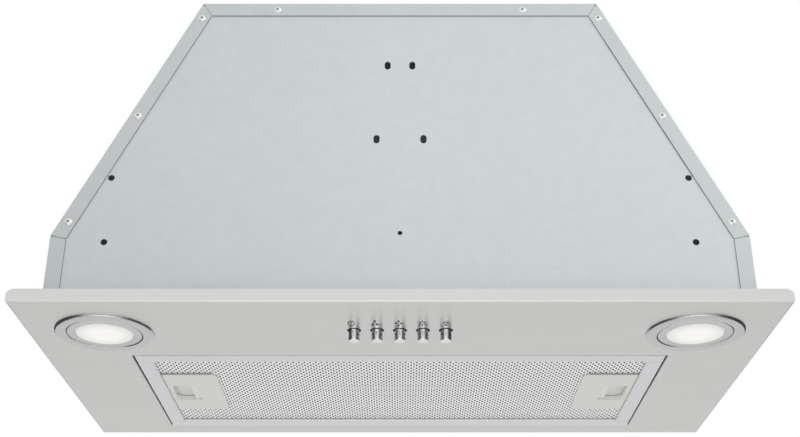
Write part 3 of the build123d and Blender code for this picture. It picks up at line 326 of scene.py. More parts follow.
def arc(radius, start, end, count):
    """Points on a circle round the origin, from one angle to another in degrees."""
    angles = np.radians(np.linspace(start, end, count))
    return np.stack([radius * np.cos(angles), radius * np.sin(angles)], axis=1)


def stroke(path, width):
    """A line of even width: the path's points moved half the width to each side, as one outline."""
    along = np.gradient(path, axis=0)
    along /= np.linalg.norm(along, axis=1)[:, None]
    across = np.stack([-along[:, 1], along[:, 0]], axis=1) * width / 2
    return np.concatenate([path - across, (path + across)[::-1]])


def blade(turn, start, reach, width, count):
    """A fan blade: from start to reach, its width follows the sine of the way along, with blunt ends."""
    way = np.linspace(0.0, 1.0, count)
    blunt = 0.05 * width
    half = width / 2 * np.sin(math.pi * way) + blunt
    along = start + way * (reach - start)
    outline = np.concatenate([np.stack([along, -half], axis=1), np.stack([along, half], axis=1)[::-1]])
    angle = math.radians(turn)
    turned = np.array([[math.cos(angle), math.sin(angle)], [-math.sin(angle), math.cos(angle)]])
    return outline @ turned


def printed(outlines, middle, stretch, bottom, top):
    """Thin plates: each outline is stretched, set at the middle facing down and carried up to the top."""
    points, faces, start = [], [], 0
    for outline in outlines:
        count = len(outline)
        flat = np.array(middle) + outline * np.array([1.0, -stretch])
        for height in (bottom, top):
            points.append(np.column_stack([flat, np.full(count, height)]))
        lower = start + np.arange(count)
        after = np.roll(lower, -1)
        faces.append(lower.tolist())
        faces.append((lower[::-1] + count).tolist())
        faces.extend(np.stack([after, lower, lower + count, after + count], axis=1).tolist())
        start += 2 * count
    return np.concatenate(points), faces


# Shader parts

def even(frequency):
    """The same frequency along each axis."""
    return (frequency, frequency, frequency)


def toned(base, times):
    """A colour made darker or lighter by a factor."""
    return [min(1.0, channel * times) for channel in base]


def add_node(tree, kind, inputs, **settings):
    """Adds a shader node. An input given as another node's output is linked, and a plain value is set."""
    node = tree.nodes.new(f"ShaderNode{kind}")
    for name, value in settings.items():
        setattr(node, name, value)
    for name, value in inputs.items():
        if isinstance(value, bpy.types.NodeSocket):
            tree.links.new(value, node.inputs[name])
        else:
            node.inputs[name].default_value = value
    return node


class Finish:
    """A material's node tree, with the few patterns that the finishes are made of."""

    def __init__(self, name, metallic=0.0, roughness=0.5):
        self.material = bpy.data.materials.new(name)
        self.material.use_nodes = True
        self.tree = self.material.node_tree
        self.tree.nodes.clear()
        self.shader = self.add("BsdfPrincipled", {"Metallic": metallic, "Roughness": roughness})
        self.add("OutputMaterial", {"Surface": self.shader.outputs["BSDF"]})

    def add(self, kind, inputs, **settings):
        """Adds a node to this finish."""
        return add_node(self.tree, kind, inputs, **settings)

    def feed(self, target, source):
        """Links an output to one of the shader's inputs."""
        self.tree.links.new(source, self.shader.inputs[target])

    def base(self):
        """The output that feeds the base colour so far."""
        return self.shader.inputs["Base Color"].links[0].from_socket

    def calculate(self, operation, *values):
        """The result of an operation on some values."""
        return self.add("Math", dict(enumerate(values)), operation=operation).outputs["Value"]

    def extreme(self, operation, values):
        """The lowest or the highest of some values, by MINIMUM or MAXIMUM."""
        return reduce(lambda first, second: self.calculate(operation, first, second), values)

    def place(self):
        """Object coordinates."""
        return self.add("TexCoord", {}).outputs["Object"]

    def positive_place(self):
        """Object coordinates with X, Y and Z made positive, so that one pattern fits both sides."""
        return self.add("VectorMath", {0: self.place()}, operation="ABSOLUTE").outputs["Vector"]

    def along(self, direction, place=None):
        """Distance from the origin along a direction, at Object coordinates or another place."""
        if place is None:
            place = self.place()
        return self.add("VectorMath", {0: place, 1: direction}, operation="DOT_PRODUCT").outputs["Value"]

    def beyond(self, *planes):
        """The largest distance beyond some planes on both sides, each a direction and a distance."""
        place = self.positive_place()
        past = []
        for direction, distance in planes:
            past.append(self.calculate("SUBTRACT", self.along(direction, place), distance))
        return self.extreme("MAXIMUM", past)

    def rings(self, centre):
        """Distance from a lamp's axis, for the lamps of both sides."""
        inputs = {
            "Vector": self.positive_place(),
            "Location": (-abs(centre.x), -abs(centre.y), 0.0),
            "Scale": (1.0, 1.0, 0.0),
        }
        from_axis = self.add("Mapping", inputs).outputs["Vector"]
        return self.add("VectorMath", {0: from_axis}, operation="LENGTH").outputs["Value"]

    def within(self, value, low, high):
        """One where a value lies between two limits, and nought elsewhere."""
        return self.calculate("COMPARE", value, (low + high) / 2, (high - low) / 2)

    def near(self, value, place, before, after):
        """One from a little before a place to a little after it, and nought elsewhere."""
        return self.within(value, place - before, place + after)

    def noise(self, frequency, detail=2.0):
        """Cloudy noise with a frequency along each axis, in cycles per metre."""
        scaled = self.add("Mapping", {"Vector": self.place(), "Scale": frequency}).outputs["Vector"]
        return self.add("TexNoise", {"Vector": scaled, "Scale": 1.0, "Detail": detail}).outputs["Fac"]

    def crystals(self, size):
        """One random value for each zinc crystal of about that size."""
        inputs = {"Vector": self.place(), "Scale": 1.0 / size, "Randomness": 1.0}
        crystal = self.add("TexVoronoi", inputs).outputs["Color"]
        return self.add("SeparateColor", {"Color": crystal}).outputs["Red"]

    def turned(self, distance, pitch):
        """Turning marks: noise along the distance from the axis only."""
        inputs = {"W": distance, "Scale": 1.0 / pitch}
        return self.add("TexNoise", inputs, noise_dimensions="1D").outputs["Fac"]

    def crossed(self, pitch, slope=0.6, wobble=0.4):
        """Two sets of slanting wires: the higher of two wave patterns."""
        waves_per_metre = 0.3 / pitch
        waves = []
        for turn in (slope, -slope):
            inputs = {"Vector": self.place(), "Rotation": (0.0, 0.0, turn), "Scale": even(waves_per_metre)}
            slanting = self.add("Mapping", inputs).outputs["Vector"]
            inputs = {"Vector": slanting, "Scale": 1.0, "Distortion": wobble}
            wave = self.add("TexWave", inputs, wave_type="BANDS", bands_direction="X")
            waves.append(wave.outputs["Fac"])
        return self.extreme("MAXIMUM", waves)

    def spread(self, value, low, high, limits=NOISE_RANGE):
        """Maps a pattern's usual range to low and high."""
        inputs = {
            "Value": value, "From Min": limits[0], "From Max": limits[1], "To Min": low, "To Max": high,
        }
        return self.add("MapRange", inputs).outputs["Result"]

    def mixer(self):
        """A colour mix: its factor, both its colours and its result."""
        node = self.add("Mix", {}, data_type="RGBA")
        sockets = {(socket.name, socket.type): socket for socket in node.inputs}
        mixed = [socket for socket in node.outputs if socket.type == "RGBA"]
        return sockets[("Factor", "VALUE")], sockets[("A", "RGBA")], sockets[("B", "RGBA")], mixed[0]

    def colours(self, value, dark, light, target="Base Color", limits=NOISE_RANGE):
        """Mixes two colours by a pattern."""
        factor, first, second, mixed = self.mixer()
        first.default_value = (*dark, 1.0)
        second.default_value = (*light, 1.0)
        self.tree.links.new(self.spread(value, 0.0, 1.0, limits), factor)
        self.feed(target, mixed)

    def shade(self, value, base, change, limits=NOISE_RANGE):
        """Varies one base colour by a share up and down."""
        self.colours(value, toned(base, 1.0 - change), toned(base, 1.0 + change), limits=limits)

    def shade_ramp(self, value, low, high, limits):
        """Paints shade: multiplies the base colour by a share that runs from low to high as a value crosses
        its limits.
        """
        inputs = {0: self.base(), "Scale": self.spread(value, low, high, limits)}
        self.feed("Base Color", self.add("VectorMath", inputs, operation="SCALE").outputs["Vector"])

    def paint_tint(self, tint, *masks):
        """Covers the base colour with a tint where every mask is one, for seams and for painted light and
        shade.
        """
        factor, first, second, mixed = self.mixer()
        second.default_value = (*tint, 1.0)
        self.tree.links.new(self.base(), first)
        self.tree.links.new(self.extreme("MINIMUM", masks), factor)
        self.feed("Base Color", mixed)

    def rough(self, value, low, high):
        """Roughness between two limits."""
        self.feed("Roughness", self.spread(value, low, high))

    def relief(self, value, depth):
        """Bumps of the given depth in metres."""
        inputs = {"Height": value, "Strength": 1.0, "Distance": depth}
        self.feed("Normal", self.add("Bump", inputs).outputs["Normal"])


def cloudy_finish(name, base, metallic, roughness, grain, depth, change=0.06):
    """A plain finish: cloudy noise of a grain size varies its colour, its roughness and a shallow relief."""
    finish = Finish(name, metallic)
    pattern = finish.noise(even(1.0 / grain), detail=4.0)
    finish.shade(pattern, base, change)
    finish.rough(pattern, low=0.85 * roughness, high=1.15 * roughness)
    finish.relief(pattern, depth)
    return finish.material


def galvanised_finish(name, base, edge):
    """Zinc crystals that differ a little in shade, with painted shade and painted shadow on the sheet.

    The sheet is painted darker to the left and towards its foot. A painted shadow follows the flange's inner
    outline, and is darker in the gap where the right flange stands off.
    """
    finish = Finish(name, metallic=0.7)
    across, height = finish.along(X_AXIS), finish.along(Z_AXIS)
    finish.shade(finish.crystals(size=7.0 * MM), base, change=0.012, limits=WHOLE_RANGE)
    # Painted shade: the sheet grows darker to the left and towards its foot, as the light falls on it
    finish.shade_ramp(across, low=0.91, high=1.0, limits=(-CANOPY_HALF, 0.0))
    finish.shade_ramp(height, low=0.95, high=1.0, limits=(0.0, CANOPY_HEIGHT / 2))
    finish.rough(finish.noise(even(60.0), detail=3.0), low=0.42, high=0.52)
    finish.relief(finish.noise(even(420.0)), depth=0.008 * MM)
    run, rise = CANOPY_HALF - CANOPY_TOP_HALF, CANOPY_HEIGHT - CANOPY_KNEE
    slope = math.hypot(run, rise)
    slant = (rise / slope, 0.0, run / slope)
    slant_distance = CANOPY_HALF * slant[0] + CANOPY_KNEE * slant[2]
    # Painted contact shadow just inside the flange's inner outline
    past_edge = finish.beyond(
        (X_AXIS, CANOPY_HALF - CANOPY_FLANGE),
        (slant, slant_distance - CANOPY_FLANGE),
        (Z_AXIS, CANOPY_HEIGHT - CANOPY_FLANGE),
    )
    finish.paint_tint(edge, finish.near(past_edge, 0.0, before=0.12 * MM, after=0.03 * MM))
    # A darker painted shadow in the gap where the right flange stands off
    gap = finish.near(past_edge, 0.0, before=0.16 * MM, after=0.03 * MM)
    right_side = finish.within(across, 0.0, CANOPY_HALF)
    finish.paint_tint(toned(edge, times=0.35), gap, right_side, finish.within(height, *STANDOFF_SHADE_HEIGHTS))
    return finish.material


def stainless_finish(settings):
    """Grain lines run along X, with reflections drawn out across them."""
    finish = Finish("brushed steel", metallic=1.0)
    grain = finish.noise((9.0, 900.0, 900.0), detail=3.0)
    finish.shade(grain, settings.stainless, change=0.018)
    finish.rough(finish.noise((4.0, 260.0, 260.0)), low=0.34, high=0.42)
    finish.relief(grain, depth=0.012 * MM)
    finish.shader.inputs["Anisotropic"].default_value = 0.7
    tangent = finish.add("Tangent", {}, direction_type="RADIAL", axis="X")
    finish.feed("Tangent", tangent.outputs["Tangent"])
    return finish.material


def lamp_ring_finish(settings):
    """Turning marks round each lamp's axis, and a painted dark reflection on the trim's joint, outer side
    only.
    """
    finish = Finish("satin lamp ring", metallic=1.0)
    centre = box_middle("lamp_bezel_right")
    distance = finish.rings(centre)
    marks = finish.turned(distance, pitch=0.35 * MM)
    finish.shade(marks, settings.lamp_ring, change=0.04)
    finish.rough(marks, low=0.22, high=0.32)
    finish.relief(marks, depth=0.004 * MM)
    # Painted dark reflection on the joint round the trim, on each lamp's outer side only
    low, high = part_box("lamp_trim_right")
    joint = (high.x - low.x) / 2
    outer_start = centre.x + 0.55 * joint
    outer_side = finish.within(finish.beyond((X_AXIS, outer_start)), 0.0, joint)
    ring = finish.near(distance, joint, before=0.3 * MM, after=0.2 * MM)
    finish.paint_tint(toned(settings.shadow_tint, times=0.35), ring, outer_side)
    return finish.material


def lens_finish(settings):
    """A frosted lens lit from behind, brightest in the middle."""
    finish = Finish("frosted lens", roughness=0.35)
    low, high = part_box("lamp_lens_right")
    radius = (high.x - low.x) / 2
    distance = finish.rings(box_middle("lamp_lens_right"))
    limits = (0.45 * radius, 0.95 * radius)
    finish.colours(distance, settings.lens_middle, settings.lens_edge, "Emission Color", limits)
    finish.shader.inputs["Emission Strength"].default_value = LENS_GLOW
    frost = finish.noise(even(1400.0), detail=3.0)
    finish.shade(frost, LENS_FROST, change=0.08)
    finish.relief(frost, depth=0.01 * MM)
    return finish.material


def chrome_finish(settings):
    """Polished plate with faint smears."""
    finish = Finish("chrome plate", metallic=1.0)
    smear = finish.noise(even(90.0), detail=4.0)
    finish.shade(smear, settings.chrome, change=0.02)
    finish.rough(smear, low=0.05, high=0.11)
    return finish.material


def filter_metal_finish(settings):
    """Rolled aluminium with faint grain along X; painted shadow in the rear crease and at the front wall's
    foot.

    The side rails' inner edges are sheared, which leaves them matt. Seams show where the side rails
    overlap the front and rear ones.
    """
    metallic = 0.85
    finish = Finish("rolled aluminium", metallic)
    grain = finish.noise((14.0, 520.0, 520.0), detail=3.0)
    finish.shade(grain, settings.filter_metal, change=0.03)
    finish.rough(grain, low=0.34, high=0.44)
    finish.relief(grain, depth=0.006 * MM)
    depth, height = finish.along(Y_AXIS), finish.along(Z_AXIS)
    low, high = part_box("filter_frame")
    skin, window_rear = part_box("filter_mesh_lower")[0].z, high.y - FILTER_BORDER
    # Painted shadow in the rear crease, just by the skin
    by_skin = finish.near(height, skin, before=0.35 * MM, after=0.1 * MM)
    rear_crease = finish.near(depth, window_rear, before=0.3 * MM, after=0.3 * MM)
    finish.paint_tint(settings.filter_core, by_skin, rear_crease)
    # Painted shadow line at the foot of the front wall, in the gap by the panel
    foot = finish.near(height, low.z, before=0.1 * MM, after=1.5 * MM)
    front_wall = finish.near(depth, low.y, before=0.1 * MM, after=0.18 * MM)
    finish.paint_tint(settings.filter_core, foot, front_wall)
    past_window = finish.beyond((X_AXIS, high.x - FILTER_BORDER))
    sheared = finish.near(past_window, 0.0, before=0.1 * MM, after=0.3 * MM)
    finish.feed("Metallic", finish.spread(sheared, metallic, 0.0, WHOLE_RANGE))
    beside_window = finish.within(past_window, 0.0, FILTER_BORDER)
    for place in (low.y + FILTER_FRONT_BORDER, window_rear):
        seam = finish.near(depth, place, before=0.4 * MM, after=0.4 * MM)
        finish.paint_tint(toned(settings.filter_metal, times=0.8), beside_window, seam)
    return finish.material


def moulded(name, base):
    """Starts a finish of light moulded plastic."""
    finish = Finish(name)
    grain = 0.9 * MM
    pattern = finish.noise(even(1.0 / grain), detail=4.0)
    finish.shade(pattern, base, change=0.025)
    finish.rough(pattern, low=0.36, high=0.48)
    finish.relief(pattern, depth=0.008 * MM)
    return finish


def latch_finish(settings):
    """Latch housing plastic: painted shadow along its front edge, painted light on the finger pocket's walls.
    """
    finish = moulded("latch plastic", settings.latch)
    depth, height = finish.along(Y_AXIS), finish.along(Z_AXIS)
    low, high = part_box("latch_housing_left")
    # Painted shadow along the housing's front edge
    front_edge = finish.near(depth, low.y, before=0.1 * MM, after=0.2 * MM)
    finish.paint_tint(toned(settings.latch, times=0.66), front_edge)
    # Painted light on the finger pocket's walls, against their shade
    above_face = finish.within(height, low.z + 0.1 * MM, POCKET_FLOOR)
    by_pocket = finish.near(depth, (low.y + high.y) / 2, before=POCKET_REACH, after=POCKET_REACH)
    finish.paint_tint(toned(settings.latch, times=1.16), above_face, by_pocket)
    return finish.material


def slider_finish(settings):
    """The latch slider's plastic, with painted shade on the floor of the finger pocket."""
    finish = moulded("slider plastic", settings.slider)
    # Painted shade on the finger pocket's floor
    floor = finish.near(finish.along(Z_AXIS), POCKET_FLOOR, before=0.2 * MM, after=0.2 * MM)
    finish.paint_tint(toned(settings.slider, times=0.92), floor)
    return finish.material


def filter_skin_finish(settings):
    """Bright rolled aluminium, a little uneven from the rolls."""
    finish = Finish("perforated aluminium", metallic=0.6)
    rolled = finish.noise((30.0, 300.0, 300.0))
    finish.shade(rolled, settings.filter_skin, change=0.02)
    finish.rough(rolled, low=0.40, high=0.48)
    return finish.material


def filter_core_finish(settings):
    """Crossed wires of the mesh layers behind the skin, coloured near black as painted shade."""
    finish = Finish("filter mesh layers", metallic=0.6, roughness=0.55)
    wires = finish.crossed(pitch=2.4 * MM)
    finish.shade(wires, settings.filter_core, change=0.5, limits=(0.2, 0.95))
    finish.relief(wires, depth=0.3 * MM)
    return finish.material


def galvanised(name, setting):
    """The maker of a galvanised finish in the colour that a setting holds."""
    return lambda settings: galvanised_finish(name, getattr(settings, setting), settings.shadow_tint)


def plain(name, setting, **look):
    """The maker of a cloudy finish in the colour that a setting holds."""
    return lambda settings: cloudy_finish(name, getattr(settings, setting), **look)


# Makers of the finishes: those of the record's slots, and those that some pieces get instead
FINISH_MAKERS = {
    "galvanised": galvanised("galvanised wall", "galvanised"),
    "wrap": galvanised("galvanised wrap", "wrap"),
    "stainless": stainless_finish,
    "zinc": plain(
        "zinc plate", "zinc",
        metallic=0.9, roughness=0.32, grain=1.2 * MM, depth=0.004 * MM,
    ),
    "rivet": plain(
        "rivet aluminium", "rivet",
        metallic=0.85, roughness=0.46, grain=0.8 * MM, depth=0.004 * MM, change=0.03,
    ),
    "flap_plastic": plain(
        "moulded grey plastic", "flap",
        metallic=0.0, roughness=0.48, grain=0.7 * MM, depth=0.015 * MM,
    ),
    "rubber": plain(
        "rubber", "rubber",
        metallic=0.0, roughness=0.62, grain=0.5 * MM, depth=0.012 * MM, change=0.15,
    ),
    "lamp_silver": lamp_ring_finish,
    "lamp_glass": lens_finish,
    "can_aluminium": plain(
        "drawn aluminium", "can",
        metallic=0.95, roughness=0.3, grain=1.6 * MM, depth=0.006 * MM,
    ),
    "board_white": plain(
        "white board", "board",
        metallic=0.0, roughness=0.55, grain=0.8 * MM, depth=0.006 * MM, change=0.04,
    ),
    "chrome": chrome_finish,
    "black_plastic": plain(
        "moulded black plastic", "black",
        metallic=0.0, roughness=0.45, grain=0.6 * MM, depth=0.012 * MM, change=0.15,
    ),
    "motor_steel": plain(
        "plated motor steel", "motor",
        metallic=0.9, roughness=0.36, grain=2.0 * MM, depth=0.01 * MM, change=0.08,
    ),
    "lead_sheath": plain(
        "lead sheath", "sheath",
        metallic=0.0, roughness=0.5, grain=1.0 * MM, depth=0.008 * MM, change=0.08,
    ),
    "filter_aluminium": filter_metal_finish,
    "filter_skin": filter_skin_finish,
    "filter_core": filter_core_finish,
    "latch_plastic": latch_finish,
    "slider": slider_finish,
    "print_ink": plain(
        "printed ink", "print_ink",
        metallic=0.0, roughness=0.5, grain=0.4 * MM, depth=0.002 * MM, change=0.12,
    ),
}
made_finishes = {}


def finish_for(slot):
    """The material of a slot, made when it is first asked for."""
    if slot not in made_finishes:
        made_finishes[slot] = FINISH_MAKERS[slot](bpy.context.scene.hood_finish)
    return made_finishes[slot]


def dress(*names, slot=None):
    """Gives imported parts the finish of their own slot, or of the slot named."""
    for name in names:
        materials = frame["nodes"][name].data.materials
        materials.clear()
        materials.append(finish_for(slot or NODE_SLOT[name]))


def both(*stems):
    """The left and right part of each stem."""
    return [f"{stem}_{side}" for stem in stems for side in SIDES]


# Operators, one for each group of pieces

class HOOD_OT_stage(bpy.types.Operator):
    """Set the camera, the pale floor, the white surroundings and the soft light"""

    bl_idname = "hood.stage"
    bl_label = "Stage"

    def add_card(self, name, corner, along, up, tint, reflected_only):
        """A flat card: a corner, plus a share of one edge and a share of the other."""
        u, v = np.meshgrid([0.0, 1.0], [0.0, 1.0])
        points = np.array(corner) + u.reshape(-1, 1) * np.array(along) + v.reshape(-1, 1) * np.array(up)
        paint = cloudy_finish(
            f"{name} paint", tint, metallic=0.0, roughness=0.9, grain=0.4, depth=0.0, change=0.01
        )
        mesh = bpy.data.meshes.new(name)
        mesh.from_pydata(points.tolist(), [], [(0, 1, 3, 2)])
        mesh.materials.append(paint)
        card = bpy.data.objects.new(name, mesh)
        bpy.context.scene.collection.objects.link(card)
        if reflected_only:
            card.visible_camera = False
            card.visible_diffuse = False
            card.visible_shadow = False

    def add_camera(self, settings):
        """The camera looks along Y, tilted up."""
        data = bpy.data.cameras.new("photo_camera")
        data.sensor_width = SENSOR_WIDTH
        data.lens = settings.camera_lens
        camera = bpy.data.objects.new("photo_camera", data)
        camera.location = settings.camera_place
        camera.rotation_euler = (math.pi / 2 + settings.camera_tilt, 0.0, 0.0)
        bpy.context.scene.collection.objects.link(camera)
        bpy.context.scene.camera = camera

    def add_world(self, settings):
        """Camera, glossy and transmission rays see plain white, and the rest the even room light."""
        world = bpy.data.worlds.new("white_room")
        world.use_nodes = True
        tree = world.node_tree
        tree.nodes.clear()
        room = add_node(tree, "Background", {"Color": WHITE, "Strength": settings.room_light})
        white = add_node(tree, "Background", {"Color": WHITE})
        path = add_node(tree, "LightPath", {})
        seen = path.outputs["Is Camera Ray"]
        for ray in ("Is Glossy Ray", "Is Transmission Ray"):
            either = add_node(tree, "Math", {0: seen, 1: path.outputs[ray]}, operation="MAXIMUM")
            seen = either.outputs["Value"]
        surroundings = {"Fac": seen, 1: room.outputs["Background"], 2: white.outputs["Background"]}
        mix = add_node(tree, "MixShader", surroundings)
        add_node(tree, "OutputWorld", {"Surface": mix.outputs["Shader"]})
        bpy.context.scene.world = world

    def place_light(self, name, data, power, place):
        """Sets a light at its place, unseen by the camera."""
        data.energy = power
        light = bpy.data.objects.new(name, data)
        light.location = place
        light.visible_camera = False
        bpy.context.scene.collection.objects.link(light)
        return light

    def add_light(self, name, power, place, width, height):
        """A soft rectangle of light, aimed at the front wall."""
        data = bpy.data.lights.new(name, "AREA")
        data.shape = "RECTANGLE"
        data.size = width
        data.size_y = height
        light = self.place_light(name, data, power, place)
        aim = box_middle("front_wall") - light.location
        light.rotation_euler = aim.to_track_quat("-Z", "Y").to_euler()

    def add_inner_light(self, name, power, place):
        """A faint light in the canopy, for the daylight that gets in past the filter and the flaps."""
        data = bpy.data.lights.new(name, "POINT")
        data.shadow_soft_size = INNER_LIGHT_RADIUS
        self.place_light(name, data, power, place)

    def execute(self, context):
        settings = context.scene.hood_stage
        context.scene.view_settings.view_transform = "Standard"
        self.add_camera(settings)
        self.add_world(settings)
        self.add_light("soft_key", settings.key_power, **KEY_LIGHT)
        self.add_light("soft_fill", settings.fill_power, **FILL_LIGHT)
        signed_sides = tuple(zip((-1, 1), SIDES))
        across, depth, height = INNER_LIGHT
        for sign, side in signed_sides:
            self.add_inner_light(f"inner_light_{side}", settings.inner_power, (sign * across, depth, height))
        width = settings.floor_width
        self.add_card(
            "floor", (-width / 2, -width / 2, -settings.floor_drop), (width, 0.0, 0.0), (0.0, width, 0.0),
            settings.floor_colour, reflected_only=False,
        )
        for sign, side in signed_sides:
            self.add_card(
                f"flag_{side}", (sign * FLAG_ASIDE, FLAG_FRONT, FLAG_FOOT),
                (0.0, FLAG_LENGTH, 0.0), (0.0, 0.0, FLAG_HEIGHT), settings.flag_colour, reflected_only=True,
            )
        return {"FINISHED"}


class HOOD_OT_canopy(bpy.types.Operator):
    """Finish the canopy's galvanised sheets and their rivets"""

    bl_idname = "hood.canopy"
    bl_label = "Canopy"

    def execute(self, context):
        dress("front_wall", "rear_wall")
        dress("canopy_wrap", slot="wrap")
        dress("rivets_front", "rivets_rear", slot="rivet")
        return {"FINISHED"}


class HOOD_OT_panel(bpy.types.Operator):
    """Finish the brushed panel, its studs and their nuts"""

    bl_idname = "hood.panel"
    bl_label = "Panel"

    def execute(self, context):
        dress("base_panel", "base_studs", "base_nuts")
        return {"FINISHED"}


class HOOD_OT_outlet(bpy.types.Operator):
    """Finish the duct collar, the damper and the cable gland"""

    bl_idname = "hood.outlet"
    bl_label = "Outlet"

    def execute(self, context):
        dress("outlet_collar", "collar_screws", "damper_pin", "cable_gland", *both("damper_flap"))
        return {"FINISHED"}


class HOOD_OT_blower(bpy.types.Operator):
    """Finish the blower, the fan and the motor"""

    bl_idname = "hood.blower"
    bl_label = "Blower"

    def execute(self, context):
        dress(
            *both("blower_shell"), "blower_screws", "impeller", "shaft_nut", "motor_can", "motor_shaft",
            "motor_bracket", "bracket_grommets", "bracket_screws",
        )
        return {"FINISHED"}


class HOOD_OT_wiring(bpy.types.Operator):
    """Finish the terminal box, the capacitor and the leads"""

    bl_idname = "hood.wiring"
    bl_label = "Wiring"

    def execute(self, context):
        dress(
            "terminal_box", "terminal_cover", "capacitor", "capacitor_clip", "motor_lead", "switch_lead",
            *both("lamp_lead"),
        )
        return {"FINISHED"}


class HOOD_OT_lamps(bpy.types.Operator):
    """Finish the lamps' rings, lit lenses, cans and boards"""

    bl_idname = "hood.lamps"
    bl_label = "Lamps"

    def execute(self, context):
        dress(*both("lamp_bezel", "lamp_trim", "lamp_lens", "lamp_can", "lamp_board", "lamp_clips"))
        return {"FINISHED"}


class HOOD_OT_buttons(bpy.types.Operator):
    """Finish the chrome buttons and the switch behind them"""

    bl_idname = "hood.buttons"
    bl_label = "Buttons"

    def execute(self, context):
        dress(*[f"button_{number}" for number in range(1, BUTTON_COUNT + 1)])
        dress("switch_housing", "switch_contacts", "switch_cover")
        return {"FINISHED"}


class HOOD_OT_symbols(bpy.types.Operator):
    """Print a power sign, three fan speeds and a lamp in front of the buttons"""

    bl_idname = "hood.symbols"
    bl_label = "Symbols"

    def power(self, half, line):
        """An open ring with a bar in its gap."""
        ring = arc(half, 110.0, 430.0, count=40)
        bar_steps = (0.0, 0.6 * half, 1.1 * half)
        return [stroke(ring, line), stroke(np.outer(bar_steps, (0.0, 1.0)), line)]

    def fan(self, half, blade_count):
        """Blades spread evenly round the middle, slimmer where there are more."""
        start, reach, width = 0.25 * half, 1.35 * half, 2.4 * half / blade_count
        turns = [90.0 + 360.0 * number / blade_count for number in range(blade_count)]
        return [blade(turn, start, reach, width, count=14) for turn in turns]

    def lamp(self, half, line):
        """A ring for the bulb, a bar below it and five rays."""
        bulb = arc(0.5 * half, 0.0, 360.0, count=33)
        bar_half, bar_drop = 0.35 * half, 0.85 * half
        bar = np.array([[-bar_half, -bar_drop], [0.0, -bar_drop], [bar_half, -bar_drop]])
        ray_steps = (0.75 * half, 0.9 * half, 1.1 * half)
        rays = []
        for degrees in (0.0, 45.0, 90.0, 135.0, 180.0):
            angle = math.radians(degrees)
            rays.append(stroke(np.outer(ray_steps, (math.cos(angle), math.sin(angle))), line))
        return [stroke(bulb, line), stroke(bar, line), *rays]

    def execute(self, context):
        settings = context.scene.hood_symbols
        half, line = settings.size / 2, settings.line
        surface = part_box("base_panel")[0].z
        shapes = [
            ("symbol_power", self.power(half, line)),
            ("symbol_speed_low", self.fan(half, blade_count=3)),
            ("symbol_speed_medium", self.fan(half, blade_count=4)),
            ("symbol_speed_high", self.fan(half, blade_count=6)),
            ("symbol_lamp", self.lamp(half, line)),
        ]
        middle_number = (BUTTON_COUNT + 1) // 2
        for number, (name, outlines) in enumerate(shapes, start=1):
            button = box_middle(f"button_{number}")
            middle = ((number - middle_number) * settings.pitch - settings.shift, button.y - settings.gap)
            points, faces = printed(outlines, middle, settings.stretch, surface - settings.ink, surface)
            add_piece(name, points, faces, "hood", finish_for("print_ink"))
        return {"FINISHED"}


class HOOD_OT_filter(bpy.types.Operator):
    """Finish the filter's frame and core, and perforate its two skins"""

    bl_idname = "hood.filter"
    bl_label = "Filter"

    def execute(self, context):
        settings = context.scene.hood_filter
        dress("filter_frame")
        dress("filter_core", slot="filter_core")
        outer_low, outer_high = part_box("filter_frame")
        window_front, window_rear = outer_low.y + FILTER_FRONT_BORDER, outer_high.y - FILTER_BORDER
        window_side = outer_high.x - FILTER_BORDER
        latch_low, latch_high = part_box("latch_housing_right")
        pitch = latch_low.x / settings.half_columns
        cut_inner = latch_low.x + pitch
        cut_front, cut_rear = latch_low.y - SKIN_FRONT_FIT, latch_high.y + SKIN_REAR_FIT
        row = (cut_rear - cut_front) / settings.latch_rows
        for side in ("lower", "upper"):
            node = f"filter_mesh_{side}"
            low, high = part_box(node)
            bottom = low.z if side == "lower" else high.z - settings.thickness
            half_count = int(high.x / pitch)
            front_rows = int((cut_front - low.y) / row)
            rear_rows = int((high.y - cut_rear) / row)
            row_count = front_rows + settings.latch_rows + rear_rows
            x_lines = (np.arange(2 * half_count + 1) - half_count) * pitch
            y_lines = cut_front + (np.arange(row_count + 1) - front_rows) * row
            x_middle = np.abs((x_lines[1:] + x_lines[:-1]) / 2)
            y_middle = (y_lines[1:] + y_lines[:-1]) / 2
            beside_latch = (y_middle > cut_front) & (y_middle < cut_rear)
            inside = ~(beside_latch[:, None] & (x_middle > cut_inner)[None, :])
            in_window = (y_middle > window_front) & (y_middle < window_rear)
            shown = in_window[:, None] & (x_middle < window_side + pitch)[None, :]
            points, faces = perforated_skin(
                x_lines, y_lines, inside, shown, bottom, bottom + settings.thickness,
                (settings.hole_width, settings.hole_length), settings.zigzag * row,
            )
            material = finish_for("filter_skin")
            add_piece(f"filter_skin_{side}", points, faces, "filter", material, [node])
        return {"FINISHED"}


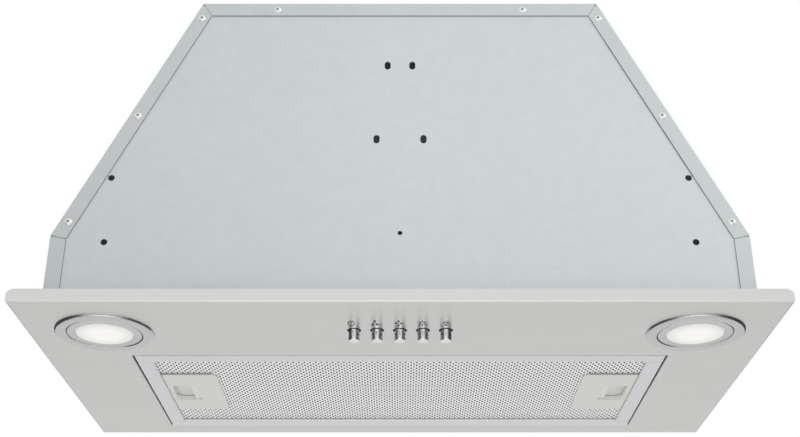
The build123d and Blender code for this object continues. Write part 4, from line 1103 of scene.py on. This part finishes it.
class HOOD_OT_latches(bpy.types.Operator):
    """Finish the filter's latch housings and sliders"""

    bl_idname = "hood.latches"
    bl_label = "Latches"

    def execute(self, context):
        dress(*both("latch_housing"))
        dress(*both("latch_slider"), slot="slider")
        return {"FINISHED"}


SETTINGS = {
    "hood_stage": HoodStageSettings,
    "hood_finish": HoodFinishSettings,
    "hood_filter": HoodFilterSettings,
    "hood_symbols": HoodSymbolSettings,
}
OPERATORS = (
    HOOD_OT_stage, HOOD_OT_canopy, HOOD_OT_panel, HOOD_OT_outlet, HOOD_OT_blower, HOOD_OT_wiring,
    HOOD_OT_lamps, HOOD_OT_buttons, HOOD_OT_symbols, HOOD_OT_filter, HOOD_OT_latches,
)


class HOOD_PT_sidebar(bpy.types.Panel):
    """Lists the hood's pieces and their settings in the sidebar"""

    bl_idname = "HOOD_PT_sidebar"
    bl_label = "Range hood"
    bl_space_type = "VIEW_3D"
    bl_region_type = "UI"
    bl_category = "Range hood"

    def draw(self, context):
        for operator in OPERATORS:
            self.layout.operator(operator.bl_idname)
        for name, kind in SETTINGS.items():
            box = self.layout.box()
            for setting in kind.__annotations__:
                box.prop(getattr(context.scene, name), setting)


CLASSES = (*SETTINGS.values(), *OPERATORS, HOOD_PT_sidebar)


def register():
    for kind in CLASSES:
        bpy.utils.register_class(kind)
    for name, kind in SETTINGS.items():
        setattr(bpy.types.Scene, name, PointerProperty(type=kind))


def unregister():
    for name in SETTINGS:
        delattr(bpy.types.Scene, name)
    for kind in reversed(CLASSES):
        bpy.utils.unregister_class(kind)


def main():
    """Registers the classes and builds every piece in order."""
    register()
    bpy.ops.hood.stage()
    bpy.ops.hood.canopy()
    bpy.ops.hood.panel()
    bpy.ops.hood.outlet()
    bpy.ops.hood.blower()
    bpy.ops.hood.wiring()
    bpy.ops.hood.lamps()
    bpy.ops.hood.buttons()
    bpy.ops.hood.symbols()
    bpy.ops.hood.filter()
    bpy.ops.hood.latches()


if __name__ == "__main__":
    main()
